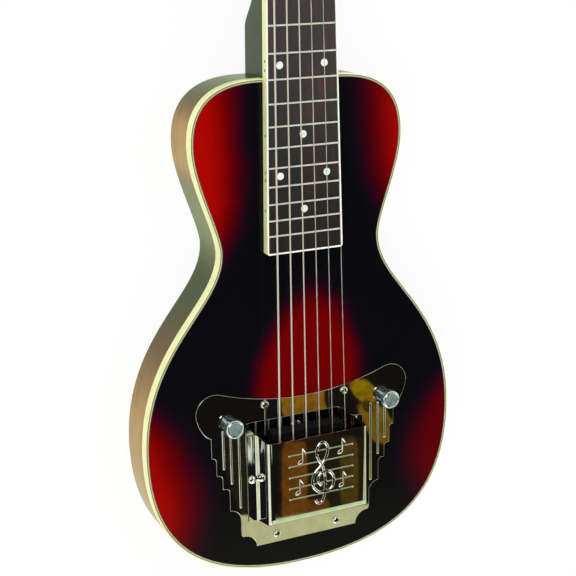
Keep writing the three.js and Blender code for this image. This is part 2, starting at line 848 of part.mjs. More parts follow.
// The blade stands in the bobbin's core; the same block, grown, cuts its slot
function bladeBlock(gap) {
  const ys = [bobbinPlace - bladeWidth / 2 - gap, bobbinPlace + bladeWidth / 2 + gap];
  const half = coilHalf - coilWidth / 2 + gap;
  const low = gap > 0 ? -overrun : 0;
  return block([-half, half], ys, [low, bobbinHeight + bladeRise]);
}

function makeBlade() {
  const crest = [bobbinHeight + runGap, bobbinHeight + bladeRise];
  const ys = [bobbinPlace - bladeWidth / 2, bobbinPlace + bladeWidth / 2];
  const blade = joined([bladeBlock(0), block([-bladeHalf, bladeHalf], ys, crest)]);
  return piece('pickup_blade', blade, finish.steel, [0, 0, plateTop]);
}

function makeCoil() {
  const heights = [bobbinFlange + runGap, bobbinHeight - bobbinFlange - runGap];
  const straight = coilHalf - coilWidth / 2;
  const wrap = new THREE.Shape();
  wrap.absarc(straight, bobbinPlace, coilWidth / 2, -Math.PI / 2, Math.PI / 2, false);
  wrap.absarc(-straight, bobbinPlace, coilWidth / 2, Math.PI / 2, (3 * Math.PI) / 2, false);
  const core = bobbinCoreWidth / 2 + fitGap;
  const reach = coilHalf - (coilWidth - bobbinCoreWidth) / 2 + fitGap;
  const inner = block([-reach, reach], [bobbinPlace - core, bobbinPlace + core], [0, bobbinHeight]);
  return piece('pickup_coil', slab(wrap, ...heights).subtract(inner), finish.copper, [0, 0, plateTop]);
}

function makeMagnets() {
  const offset = bobbinWidth / 2 + magnetWidth / 2 + fitGap;
  return [['tail', -1], ['neck', 1]].map(([end, side]) => {
    const place = bobbinPlace + side * offset;
    const ys = [place - magnetWidth / 2, place + magnetWidth / 2];
    const bar = block([-bladeHalf, bladeHalf], ys, [0, magnetHeight]);
    return piece(`pickup_magnet_${end}`, bar, finish.steel, [0, 0, plateTop]);
  });
}

// Bar under the strings: a wide foot, a narrow crest and a slot for each string
function makeBridge() {
  const height = stringHeight(0) - plateTop;
  const section = new THREE.Shape([
    new THREE.Vector2(-bridgeWidth / 2, 0),
    new THREE.Vector2(bridgeWidth / 2, 0),
    new THREE.Vector2(bridgeCrestWidth / 2, height),
    new THREE.Vector2(-bridgeCrestWidth / 2, height),
  ]);
  const bar = barAcross(section, bridgeHalf).translate([0, 0, plateTop]);
  const slots = stringWidths.map((_, i) => (
    stringSlot(i, bridgeStringSpan, 0, bridgeWidth, stringHeight(0))
  ));
  return piece('bridge', without(bar, slots), finish.nickel);
}

// Bent strip that the strings pass through; their balls stop against its tail side
function makeAnchor() {
  const tail = anchorPlace - anchorThickness / 2;
  const xs = [-bridgeHalf, bridgeHalf];
  const wall = block(xs, [tail, tail + anchorThickness], [0, anchorHeight]);
  const foot = block(xs, [tail, anchorPlace + anchorFootLength], [0, anchorThickness]);
  const length = anchorThickness + overrun;
  const holes = stringWidths.map((_, i) => {
    const hole = new THREE.CylinderGeometry(anchorHoleRadius, anchorHoleRadius, length, boreSides);
    const x = stringOffset(i, bridgeStringSpan);
    return solid(hole.translate(x, anchorPlace, anchorStringHeight - plateThickness));
  });
  return piece('string_anchor', without(joined([wall, foot]), holes), finish.nickel, [0, 0, plateTop]);
}

// Pot under the plate: a can, and a threaded bushing that comes up through the plate
function makePot(name, side) {
  const bore = potShaftRadius + runGap;
  const profile = [
    [bore, potTop - potHeight / 2],
    [bore, plateTop + bushingLift],
    [bushingRadius, plateTop + bushingLift],
    [bushingRadius, potTop],
    [potRadius, potTop],
    [potRadius, potTop - potHeight],
    [0, potTop - potHeight],
    [0, potTop - potHeight / 2],
    [bore, potTop - potHeight / 2],
  ];
  return piece(name, turned(profile), finish.steel, [side * knobSpread, knobPlace, 0]);
}

function makePotShaft(name, side) {
  const low = potTop - potHeight / 2 + runGap;
  const shaft = rod(potShaftRadius, low, low + potShaftLength);
  return piece(name, shaft, finish.brass, [side * knobSpread, knobPlace, 0]);
}

function makePotNut(name, side) {
  const ring = rod(dressNutRadius, plateTop, plateTop + dressNutHeight, 0, 0, roundSides);
  const hole = rod(bushingRadius + fitGap, plateTop - overrun, plateTop + dressNutHeight + overrun);
  return piece(name, ring.subtract(hole), finish.nickel, [side * knobSpread, knobPlace, 0]);
}

// Turned knob: a narrow neck that flares to a dished cap, with a blind bore for the shaft
function makeKnob(name, side) {
  const low = plateTop + knobLift;
  const high = low + knobHeight;
  const shaftTop = potTop - potHeight / 2 + runGap + potShaftLength;
  const bore = potShaftRadius + fitGap;
  const profile = [
    [bore, low],
    [knobNeckRadius - knobEdge, low],
    [knobNeckRadius, low + knobEdge],
    [knobNeckRadius, low + knobNeckHeight],
    [knobRadius, low + knobNeckHeight + knobFlareHeight],
    [knobRadius, high - knobEdge],
    [knobRadius - knobEdge, high],
    [knobDishRadius, high],
    [knobDishRadius - knobDishDepth, high - knobDishDepth],
    [0, high - knobDishDepth],
    [0, shaftTop + fitGap],
    [bore, shaftTop + fitGap],
    [bore, low],
  ];
  return piece(name, turned(profile), finish.chrome, [side * knobSpread, knobPlace, 0]);
}

function makeCapacitor() {
  const can = new THREE.CylinderGeometry(
    capacitorRadius, capacitorRadius, capacitorLength, smallSides,
  );
  const place = cavityHeadPlace - capacitorRadius - overrun;
  can.rotateZ(Math.PI / 2).translate(0, place, top - cavityDepth + capacitorRadius);
  return piece('tone_capacitor', solid(can), finish.film);
}

// Jack along the Y axis: a threaded barrel, a can and a blind socket, turned then laid down
function makeJack() {
  const mouth = jackPlateThickness + jackStickOut;
  const profile = [
    [jackSocketRadius, mouth],
    [jackBarrelRadius, mouth],
    [jackBarrelRadius, -fitGap],
    [jackCanRadius, -fitGap],
    [jackCanRadius, -jackCanLength],
    [jackSocketRadius + jackEndWall, mouth - jackSocketDepth - jackEndWall],
    [0, mouth - jackSocketDepth - jackEndWall],
    [0, mouth - jackSocketDepth],
    [jackSocketRadius, mouth - jackSocketDepth],
    [jackSocketRadius, mouth],
  ];
  return piece('output_jack', laidDown(turned(profile)), finish.nickel, [0, jackSeatPlace, jackHeight]);
}

// Turns a solid's +Z to point out of the tail
function laidDown(body) {
  return body.rotate([90, 0, 0]);
}

function jackRing(name, radius, sides, low, high, surface) {
  const ring = rod(radius, low, high, 0, 0, sides);
  const hole = rod(jackBarrelRadius + fitGap, low - overrun, high + overrun, 0, 0, roundSides);
  return piece(name, laidDown(ring.subtract(hole)), surface, [0, jackSeatPlace, jackHeight]);
}

function makeJackPlate() {
  return jackRing('jack_plate', jackPlateRadius, roundSides, 0, jackPlateThickness, finish.chrome);
}

function makeJackNut() {
  const high = jackPlateThickness + jackNutThickness;
  return jackRing('jack_nut', jackNutRadius, hexSides, jackPlateThickness, high, finish.nickel);
}

// Posts from string 1 to string 6: up the bass side, then down the treble side
function tunerPlaces() {
  const places = [];
  const perSide = stringCount / 2;
  for (let i = 0; i < stringCount; i += 1) {
    const bass = i < perSide;
    const row = bass ? i : stringCount - 1 - i;
    const y = nutBack + tunerFirstPlace + row * tunerPitch;
    places.push({ x: bass ? -postSpread : postSpread, y, side: bass ? -1 : 1 });
  }
  return places;
}

function tunerPlateSpan() {
  const first = nutBack + tunerFirstPlace - tunerPlateMargin;
  const last = first + 2 * tunerPlateMargin + (stringCount / 2 - 1) * tunerPitch;
  return [first, last + wormOffset];
}

// Strip on the back of the head, with a pair of ears for each worm
function makeTunerPlate(name, side) {
  const low = headBack - tunerPlateThickness;
  const strip = bothEdges(side, tunerPlateInner, tunerPlateOuter);
  const parts = [block(strip, tunerPlateSpan(), [low, headBack])];
  const cuts = [];
  const reach = gearTipRadius + fitGap;
  const boreRadius = wormShaftRadius + runGap;
  const earHeights = [wormHeight - earDrop, low + tunerPlateThickness / 2];
  tunerPlaces().filter((place) => place.side === side).forEach(({ x, y }) => {
    const axis = y + wormOffset;
    const ys = [axis - earWidth / 2, axis + earWidth / 2];
    [postSpread - reach - earThickness, postSpread + reach].forEach((inner) => {
      parts.push(block(bothEdges(side, inner, inner + earThickness), ys, earHeights));
    });
    cuts.push(rod(postRadius + fitGap, low - overrun, headBack + overrun, x, y));
    const bore = new THREE.CylinderGeometry(boreRadius, boreRadius, 2 * tunerPlateOuter, smallSides);
    bore.rotateZ(Math.PI / 2).translate(side * tunerPlateOuter, axis, wormHeight);
    cuts.push(solid(bore));
  });
  return piece(name, without(joined(parts), cuts), finish.nickel);
}

function gearShape() {
  const tooth = [
    [-toothFootShare, gearRootRadius],
    [-toothTipShare, gearTipRadius],
    [toothTipShare, gearTipRadius],
    [toothFootShare, gearRootRadius],
  ];
  const points = Array.from({ length: gearTeeth }, (_, i) => tooth.map(([share, radius]) => {
    const turn = ((i + share) * 2 * Math.PI) / gearTeeth;
    return new THREE.Vector2(radius * Math.cos(turn), radius * Math.sin(turn));
  }));
  return new THREE.Shape(points.flat());
}

// Gear, post and gear screw in one piece, with a hole for the string near the top
function makePost(index) {
  const { x, y } = tunerPlaces()[index];
  const gear = slab(gearShape(), gearTop - gearThickness, gearTop);
  const waist = headFace + postHoleHeight;
  const end = headFace + postRise;
  const post = turned([
    [0, gearTop - gearThickness - gearScrewHeight],
    [gearScrewRadius, gearTop - gearThickness - gearScrewHeight],
    [gearScrewRadius, gearTop - gearThickness / 2],
    [postRadius, gearTop - gearThickness / 2],
    [postRadius, waist - postRadius],
    [postRadius * postWaistShare, waist],
    [postRadius, waist + postRadius],
    [postRadius, end - postRadius * (1 - postTipShare)],
    [postRadius * postTipShare, end],
    [0, end],
  ], smallSides);
  const length = 2 * postRadius + overrun;
  const hole = new THREE.CylinderGeometry(postHoleRadius, postHoleRadius, length, boreSides);
  const body = gear.add(post).subtract(solid(hole.translate(0, 0, waist)));
  return piece(`tuner_post_${index + 1}`, body, finish.nickel, [x, y, 0]);
}

// Worm on its shaft, turned about Z and laid along X with its button end outwards
function makeWorm(index) {
  const { x, y, side } = tunerPlaces()[index];
  const half = gearTipRadius - runGap;
  const inner = -half - earThickness - overrun;
  const profile = [[0, inner], [wormShaftRadius, inner], [wormShaftRadius, -half]];
  const pitch = (2 * half) / wormTurns;
  for (let i = 0; i < wormTurns; i += 1) {
    const start = -half + i * pitch;
    profile.push([wormRootRadius, start], [wormRadius, start + pitch / 3]);
    profile.push([wormRadius, start + (2 * pitch) / 3], [wormRootRadius, start + pitch]);
  }
  const reach = headEndHalf + buttonClearance - postSpread + buttonLength / 2;
  profile.push([wormShaftRadius, half], [wormShaftRadius, reach], [0, reach]);
  const body = layAcross(turned(uniquePoints(profile), smallSides), side);
  return piece(`tuner_worm_${index + 1}`, body, finish.nickel, [x, y + wormOffset, wormHeight]);
}

function uniquePoints(profile) {
  return profile.filter((point, i) => (
    i === 0 || point[0] !== profile[i - 1][0] || point[1] !== profile[i - 1][1]
  ));
}

// Turns a solid's +Z to point outwards on its side of the head
function layAcross(body, side) {
  return body.rotate([0, 90 * side, 0]);
}

// Oval button: a round neck that swells to a flat head, bored for the worm's shaft
function makeButton(index) {
  const { x, y, side } = tunerPlaces()[index];
  const start = headEndHalf + buttonClearance - postSpread;
  const end = start + buttonLength;
  const neck = buttonLength / 4;
  const swell = turned([
    [0, start],
    [buttonNeckRadius, start],
    [buttonNeckRadius, start + neck],
    [buttonRadius, start + 2 * neck],
    [buttonRadius, start + 3 * neck],
    [buttonRadius / 2, end],
    [0, end],
  ], smallSides);
  const flat = swell.scale([buttonThicknessShare, 1, 1]);
  const collar = rod(buttonNeckRadius, start, start + neck);
  const bore = rod(wormShaftRadius + fitGap, start - overrun, start + buttonLength / 2 + fitGap);
  const body = layAcross(flat.add(collar).subtract(bore), side);
  return piece(`tuner_button_${index + 1}`, body, finish.button, [x, y + wormOffset, wormHeight]);
}

function makeTuners() {
  const tuners = new THREE.Group();
  tuners.add(makeTunerPlate('tuner_plate_bass', -1), makeTunerPlate('tuner_plate_treble', 1));
  for (let i = 0; i < stringCount; i += 1) tuners.add(makePost(i), makeWorm(i), makeButton(i));
  return tuners;
}

function makeControls() {
  const controls = new THREE.Group();
  [['volume', -1], ['tone', 1]].forEach(([name, side]) => {
    controls.add(makePot(`${name}_pot`, side));
    controls.add(makePotShaft(`${name}_pot_shaft`, side));
    controls.add(makePotNut(`${name}_pot_nut`, side));
    controls.add(makeKnob(`${name}_knob`, side));
  });
  controls.add(makeCapacitor());
  controls.add(makeJack(), makeJackPlate(), makeJackNut());
  return controls;
}

function makeStrings() {
  const strings = new THREE.Group();
  stringWidths.forEach((_, i) => strings.add(makeString(i)));
  return strings;
}

const guitar = new THREE.Group();
guitar.add(makeBody(), makeBinding(), makeNeck());
guitar.add(makeFretboard(), makeBoardBinding(), makeNut());
guitar.add(makeBasePlate(), ...makePlateScrews(), makeCover(), ...makeCoverScrews());
guitar.add(makeBobbin(), makeBlade(), makeCoil(), ...makeMagnets(), makeBridge(), makeAnchor());
guitar.add(makeControls(), makeStrings(), makeTuners());
guitar.position.y = -(jackEnd + headEnd) / 2;

export default guitar;
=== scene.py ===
import math

import bmesh
import bpy
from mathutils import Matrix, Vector


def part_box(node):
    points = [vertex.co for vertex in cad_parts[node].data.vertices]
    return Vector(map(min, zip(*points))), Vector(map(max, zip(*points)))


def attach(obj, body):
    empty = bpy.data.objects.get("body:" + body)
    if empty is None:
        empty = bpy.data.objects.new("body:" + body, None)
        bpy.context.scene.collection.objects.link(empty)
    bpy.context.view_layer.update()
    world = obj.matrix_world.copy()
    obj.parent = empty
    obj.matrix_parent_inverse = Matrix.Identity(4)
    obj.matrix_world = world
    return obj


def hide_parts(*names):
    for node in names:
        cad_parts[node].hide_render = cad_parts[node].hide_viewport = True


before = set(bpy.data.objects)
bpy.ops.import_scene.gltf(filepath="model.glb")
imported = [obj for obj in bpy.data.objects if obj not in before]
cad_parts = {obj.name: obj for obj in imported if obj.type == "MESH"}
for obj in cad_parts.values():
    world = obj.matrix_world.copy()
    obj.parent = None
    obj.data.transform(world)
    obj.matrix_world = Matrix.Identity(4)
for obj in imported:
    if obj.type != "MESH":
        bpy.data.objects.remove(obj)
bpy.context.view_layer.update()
print("frame loaded")

# Sizes are in millimetres, counted from the bridge line (Y) and the body's face (Z)
mm = 0.001
hair = 0.02  # a gap too small to see
bridgeLine = (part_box("bridge")[0].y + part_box("bridge")[1].y) / 2
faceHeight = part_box("body")[1].z


def spot(x, y, z=0):
    return Vector((x * mm, bridgeLine + y * mm, faceHeight + z * mm))


def fromBridge(node):
    # a node's box, in millimetres from the bridge line and the face
    low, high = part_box(node)
    origin = spot(0, 0)
    return (low - origin) / mm, (high - origin) / mm


class Sizes(dict):
    # a piece's own sizes, read as names
    __getattr__ = dict.__getitem__


overrun = 5  # how far a cutter stands out of what it cuts
alongY = (math.pi / 2, 0, 0)  # turns that lay an upright rod down
alongX = (0, math.pi / 2, 0)


# Steps that every piece is modelled with
def putDown():
    if bpy.context.mode != "OBJECT":
        bpy.ops.object.mode_set(mode="OBJECT")
    bpy.ops.object.select_all(action="DESELECT")


def takeUp(obj):
    putDown()
    obj.select_set(True)
    bpy.context.view_layer.objects.active = obj
    return obj


def openMesh(obj):
    takeUp(obj)
    bpy.ops.object.mode_set(mode="EDIT")
    bpy.ops.mesh.select_mode(type="FACE")
    bpy.ops.mesh.select_all(action="SELECT")


def pick(kind, wanted):
    # selects by a test on each element's middle and its normal, or an edge's direction
    bpy.ops.mesh.select_mode(type=kind)
    bpy.ops.mesh.select_all(action="DESELECT")
    mesh = bpy.context.object.data
    shape = bmesh.from_edit_mesh(mesh)
    if kind == "FACE":
        parts = [(f, f.calc_center_median(), f.normal) for f in shape.faces]
    elif kind == "EDGE":
        ends = [(e, e.verts[0].co, e.verts[1].co) for e in shape.edges]
        parts = [(e, (a + b) / 2, (b - a).normalized()) for e, a, b in ends]
    else:
        parts = [(v, v.co, v.normal) for v in shape.verts]
    for part, middle, way in parts:
        if wanted((middle - spot(0, 0)) / mm, way):
            part.select_set(True)
    shape.select_flush_mode()
    bmesh.update_edit_mesh(mesh)


def pickAll():
    bpy.ops.mesh.select_all(action="SELECT")


def merged():
    # what is picked, with its doubles merged
    pickAll()
    bpy.ops.mesh.remove_doubles(threshold=hair * mm / 10)


def faceOut():
    pickAll()
    bpy.ops.mesh.normals_make_consistent(inside=False)


def drawOut(x=0, y=0, z=0):
    # extrudes what is picked
    bpy.ops.mesh.extrude_region_move(TRANSFORM_OT_translate={"value": (x * mm, y * mm, z * mm)})


def drawEdges(x=0, z=0):
    bpy.ops.mesh.extrude_edges_move(TRANSFORM_OT_translate={"value": (x * mm, 0, z * mm)})


def moved(x=0, y=0, z=0):
    bpy.ops.transform.translate(value=(x * mm, y * mm, z * mm))


def resized(centre, x=1, y=1, z=1):
    bpy.ops.transform.resize(value=(x, y, z), center_override=centre)


def bevelEdges(wanted, width, segments):
    pick("EDGE", wanted)
    bpy.ops.mesh.bevel(offset=width * mm, segments=segments)


def bevelled(obj, wanted, width, segments):
    openMesh(obj)
    bevelEdges(wanted, width, segments)
    putDown()


def named(obj, name):
    obj.name = name
    obj.data.name = name
    return obj


def settled(name):
    # names the new object and puts its place into its mesh
    bpy.ops.object.transform_apply(location=True, rotation=True, scale=True)
    return named(bpy.context.object, name)


def addBox(name, xs, ys, zs):
    low, high = spot(xs[0], ys[0], zs[0]), spot(xs[1], ys[1], zs[1])
    putDown()
    bpy.ops.mesh.primitive_cube_add(size=1, location=(low + high) / 2, scale=high - low)
    return settled(name)


def addRod(name, centre, radius, length, turn=(0, 0, 0), sides=32):
    putDown()
    bpy.ops.mesh.primitive_cylinder_add(
        vertices=sides, radius=radius * mm, depth=length * mm, location=centre, rotation=turn
    )
    return settled(name)


def addBall(name, centre, radius, segments, rings, turn=(0, 0, 0), scale=(1, 1, 1)):
    putDown()
    bpy.ops.mesh.primitive_uv_sphere_add(
        segments=segments, ring_count=rings, radius=radius * mm, location=centre, rotation=turn, scale=scale
    )
    return settled(name)


def addTurned(name, profile, foot, turn=(0, 0, 0), steps=40):
    # a profile of (radius, height) pairs spun about its axis, then stood on its foot
    putDown()
    bpy.ops.mesh.primitive_plane_add(size=mm, location=(0, 0, 0))
    bpy.ops.object.mode_set(mode="EDIT")
    bpy.ops.mesh.select_mode(type="VERT")
    pickAll()
    bpy.ops.mesh.merge(type="CENTER")
    here = profile[0]
    moved(here[0], 0, here[1])
    for radius, height in profile[1:]:
        drawOut(radius - here[0], 0, height - here[1])
        here = (radius, height)
    pickAll()
    bpy.ops.mesh.spin(steps=steps, angle=2 * math.pi, center=(0, 0, 0), axis=(0, 0, 1))
    merged()
    faceOut()
    bpy.ops.object.mode_set(mode="OBJECT")
    bpy.context.object.rotation_euler = turn
    bpy.context.object.location = foot
    return settled(name)


def addTube(name, points, radius, sides=3, closed=False, smooth=True):
    # a round wire through points; smooth wires get curved joints
    putDown()
    bpy.ops.curve.primitive_bezier_curve_add()
    drawn = bpy.context.object
    spline = drawn.data.splines[0]
    spline.bezier_points.add(len(points) - 2)
    for knot, point in zip(spline.bezier_points, points):
        kind = "AUTO" if smooth else "VECTOR"
        knot.co = point
        knot.handle_left_type = kind
        knot.handle_right_type = kind
    spline.use_cyclic_u = closed
    spline.resolution_u = 8 if smooth else 1
    drawn.data.bevel_depth = radius * mm
    drawn.data.bevel_resolution = sides
    drawn.data.use_fill_caps = True
    bpy.ops.object.convert(target="MESH")
    made = settled(name)
    openMesh(made)
    merged()
    faceOut()
    putDown()
    return made


def applied(obj, kind, **settings):
    takeUp(obj)
    bpy.ops.object.modifier_add(type=kind)
    modifier = obj.modifiers[-1]
    for setting, value in settings.items():
        setattr(modifier, setting, value)
    bpy.ops.object.modifier_apply(modifier=modifier.name)
    return obj


def roundEdges(obj, width, segments=2, angle=35):
    limit = math.radians(angle)
    applied(obj, "BEVEL", width=width * mm, segments=segments, limit_method="ANGLE", angle_limit=limit)
    return smoothed(obj)


def smoothed(obj, angle=35):
    # soft shading over small angles, with flat faces kept truly flat
    takeUp(obj)
    bpy.ops.object.shade_smooth_by_angle(angle=math.radians(angle))
    return applied(obj, "WEIGHTED_NORMAL", keep_sharp=True, weight=90)


def cut(obj, cutters, operation="DIFFERENCE"):
    for cutter in cutters:
        applied(obj, "BOOLEAN", operation=operation, solver="EXACT", object=cutter)
        takeUp(cutter)
        bpy.ops.object.delete()
    return obj


def copied(obj, name, shift, turn):
    # another piece with its own mesh, turned about the bridge line's middle, then shifted
    takeUp(obj)
    bpy.ops.object.duplicate(linked=False)
    made = named(bpy.context.object, name)
    openMesh(made)
    bpy.ops.transform.rotate(value=-turn, orient_axis="Z", center_override=spot(0, 0))
    moved(*shift)
    putDown()
    return made


def joined(parts, name):
    putDown()
    for part in parts:
        part.select_set(True)
    bpy.context.view_layer.objects.active = parts[0]
    bpy.ops.object.join()
    return named(bpy.context.object, name)


class Pen:
    # draws the treble half of an outline in millimetres; the bass half mirrors it
    def __init__(self, x, y):
        self.knots = [[Vector((x, y))] * 3]

    def curve(self, leave, arrive, end):
        self.knots[-1][2] = Vector(leave)
        self.knots.append([Vector(arrive), Vector(end), Vector(end)])

    def line(self, x, y):
        self.knots.append([Vector((x, y))] * 3)

    def arc(self, x, y, radius, start, end):
        count = math.ceil(abs(end - start) / 90)
        step = math.radians(end - start) / count
        reach = radius * math.tan(step / 4) * 4 / 3
        for i in range(count):
            a = math.radians(start) + i * step
            b = a + step
            leave = (x + radius * math.cos(a) - reach * math.sin(a),
                     y + radius * math.sin(a) + reach * math.cos(a))
            arrive = (x + radius * math.cos(b) + reach * math.sin(b),
                      y + radius * math.sin(b) - reach * math.cos(b))
            end = (x + radius * math.cos(b), y + radius * math.sin(b))
            self.curve(leave, arrive, end)

    def wholeKnots(self):
        other = [[Vector((-p.x, p.y)) for p in reversed(knot)] for knot in reversed(self.knots)]
        knots = [list(knot) for knot in self.knots]
        if knots[-1][1].x < hair:
            knots[-1][2] = other[0][2]
            other = other[1:]
        if knots[0][1].x < hair:
            knots[0][0] = other[-1][0]
            other = other[:-1]
        return knots + other

    def face(self, name, height, steps):
        # the outline as one flat face at a height
        putDown()
        bpy.ops.curve.primitive_bezier_curve_add()
        spline = bpy.context.object.data.splines[0]
        knots = self.wholeKnots()
        spline.bezier_points.add(len(knots) - 2)
        for knot, (before, here, after) in zip(spline.bezier_points, knots):
            knot.handle_left_type = "FREE"
            knot.handle_right_type = "FREE"
            knot.co = spot(here.x, here.y, height)
            knot.handle_left = spot(before.x, before.y, height)
            knot.handle_right = spot(after.x, after.y, height)
        spline.use_cyclic_u = True
        spline.resolution_u = steps
        bpy.ops.object.convert(target="MESH")
        made = settled(name)
        openMesh(made)
        bpy.ops.mesh.select_mode(type="EDGE")
        merged()
        bpy.ops.mesh.edge_face_add()
        bpy.ops.mesh.dissolve_limited(angle_limit=math.radians(0.2))
        bpy.ops.mesh.select_mode(type="FACE")
        pickAll()
        return made

    def slab(self, name, low, high, steps):
        return raised(self.face(name, low, steps), high - low)

    def ring(self, name, low, high, inset, width, steps):
        # a closed strip that follows the outline, drawn in by an inset
        made = self.face(name, low, steps)
        if inset:
            bpy.ops.mesh.inset(thickness=inset * mm)
            bpy.ops.mesh.select_all(action="INVERT")
            bpy.ops.mesh.delete(type="FACE")
            pickAll()
        bpy.ops.mesh.inset(thickness=width * mm)
        bpy.ops.mesh.delete(type="FACE")
        pickAll()
        return raised(made, high - low)


def raised(made, height):
    drawOut(z=height)
    faceOut()
    putDown()
    return made


def fitted(obj, finish, node=None, body="guitar_body"):
    # gives a piece its finish, its body and the node that it stands for
    obj.data.materials.clear()
    obj.data.materials.append(finish)
    if node:
        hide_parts(node)
    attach(obj, body)


# Shader maths
class Wire:
    # one output of a node tree; sums on wires add Math nodes
    def __init__(self, sheet, socket):
        self.sheet = sheet
        self.socket = socket

    def maths(self, operation, *terms):
        return self.sheet.node("ShaderNodeMath", {"operation": operation}, dict(enumerate(terms)))

    def __add__(self, other):
        return self.maths("ADD", self, other)

    def __sub__(self, other):
        return self.maths("SUBTRACT", self, other)

    def __rsub__(self, other):
        return self.maths("SUBTRACT", other, self)

    def __mul__(self, other):
        return self.maths("MULTIPLY", self, other)

    __radd__ = __add__
    __rmul__ = __mul__

    def __truediv__(self, other):
        return self.maths("DIVIDE", self, other)

    def __pow__(self, other):
        return self.maths("POWER", self, other)

    def __abs__(self):
        return self.maths("ABSOLUTE", self)

    def larger(self, other):
        return self.maths("MAXIMUM", self, other)

    def step(self, low, high):
        # 0 before low, 1 past high, eased between
        limits = {"Value": self, "From Min": low, "From Max": high}
        return self.sheet.node("ShaderNodeMapRange", {"interpolation_type": "SMOOTHSTEP"}, limits)


class Sheet:
    # a node tree being drawn
    def __init__(self, tree):
        self.tree = tree
        self.tree.nodes.clear()

    def node(self, kind, settings=None, inputs=None, output=0):
        made = self.tree.nodes.new(kind)
        for setting, value in (settings or {}).items():
            if setting == "stops":
                fillRamp(made.color_ramp, value)
            else:
                setattr(made, setting, value)
        for name, value in (inputs or {}).items():
            if isinstance(value, Wire):
                self.tree.links.new(value.socket, made.inputs[name])
            else:
                made.inputs[name].default_value = value
        return Wire(self, made.outputs[output]) if len(made.outputs) else made

    def ramp(self, value, *stops):
        # each stop is a position and the colour's red, green and blue
        return self.node("ShaderNodeValToRGB", {"stops": stops}, {"Fac": value})

    def blend(self, factor, first, second):
        colours = {0: factor, 6: first, 7: second}
        return self.node("ShaderNodeMix", {"data_type": "RGBA"}, colours, 2)

    def noise(self, place, scale, detail=3, roughness=0.55):
        sizes = {"Vector": place, "Scale": scale, "Detail": detail, "Roughness": roughness}
        return self.node("ShaderNodeTexNoise", None, sizes)

    def parts(self, place):
        # X, Y and Z of a place as three wires
        split = {"Vector": place}
        return [self.node("ShaderNodeSeparateXYZ", None, split, axis) for axis in range(3)]

    def seenBy(self, ray):
        return self.node("ShaderNodeLightPath", None, None, "Is %s Ray" % ray)


class Finish(Sheet):
    # a material whose place is in millimetres from the bridge line and the face
    def __init__(self, name, slot):
        self.material = bpy.data.materials.new(name)
        self.material.use_nodes = True
        super().__init__(self.material.node_tree)
        at = self.node("ShaderNodeTexCoord", None, None, "Object")
        origin = -spot(0, 0) / mm
        self.place = self.node("ShaderNodeMapping", None, {
            "Vector": at, "Location": origin, "Scale": (1 / mm, 1 / mm, 1 / mm),
        })

    def grain(self, scale, detail=3, roughness=0.55):
        # noise over the piece, with one scale or one for each axis
        if not isinstance(scale, tuple):
            return self.noise(self.place, scale, detail, roughness)
        stretched = self.node("ShaderNodeMapping", None, {"Vector": self.place, "Scale": scale})
        return self.noise(stretched, 1, detail, roughness)

    def bump(self, height, strength, distance):
        amounts = {"Height": height, "Strength": strength, "Distance": distance * mm}
        return self.node("ShaderNodeBump", None, amounts)

    def done(self, colour, rough, shine=0.5, metal=0, bump=None):
        looks = {"Base Color": colour, "Roughness": rough, "Specular IOR Level": shine, "Metallic": metal}
        if bump:
            looks["Normal"] = self.bump(*bump)
        shader = self.node("ShaderNodeBsdfPrincipled", None, looks)
        self.node("ShaderNodeOutputMaterial", None, {"Surface": shader})
        return self.material


def fillRamp(ramp, stops):
    while len(ramp.elements) < len(stops):
        ramp.elements.new(1)
    for element, (position, *levels) in zip(ramp.elements, stops):
        element.position = position
        element.color = paint(*levels)


def paint(red, green, blue):
    # a colour as a screen shows it, 0 to 255, as linear light
    levels = [level / 255 for level in (red, green, blue)]
    linear = [n / 12.92 if n <= 0.04045 else ((n + 0.055) / 1.055) ** 2.4 for n in levels]
    return (*linear, 1)


# The burst's windows at the edge: (side, place, spread, inner edge, softness, strength)
burstSize = Sizes(
    middle=2.5, half=40.5, lean=0.08, start=70, reach=64, tailFade=(-45, 10), strength=0.6,
    upper=[(-1, 210, 11, 47, (-18, 26), 1), (1, 250, 15, 54, (-22, 30), 0.92)],
    lower=[(-1, -8, 13, 82, (-22, 44), 1), (1, -5, 11, 92, (-24, 14), 0.46)],
)


def makeBurst():
    # red windows in a black burst: the middle, the upper bouts and the lower edges
    b = burstSize
    f = Finish("burst_top", "burst_lacquer")
    x, y, _ = f.parts(f.place)
    drift = f.grain(0.02, 2) - 0.5
    x = x + drift * 10
    y = y + drift * 8
    rise = (y - b.start).larger(0)
    wide = abs((x - b.middle - rise * b.lean) / b.half) ** 1.7
    far = (wide + (rise / b.reach) ** 1.7) ** 0.6
    red = (1 - far).step(-0.3, 0.25) * y.step(*b.tailFade) * b.strength
    for side, place, spread, edge, soft, strength in b.upper + b.lower:
        away = (place - y) / spread
        if place > 0:
            away = away.larger(0)
        red = red.larger((x * side - away * away - edge).step(*soft) * strength)
    red = red * (0.92 + f.grain((0.9, 0.03, 0.3), 4, 0.6) * 0.16)
    colour = f.ramp(red,
                    (0, 9, 9, 12), (0.12, 22, 7, 18), (0.3, 54, 2, 14), (0.55, 94, 0, 3), (1, 156, 6, 2))
    ripple = f.grain(0.03, 2)
    return f.done(colour, 0.12 + ripple * 0.06, 0.15, bump=(ripple, 0.04, 0.4))


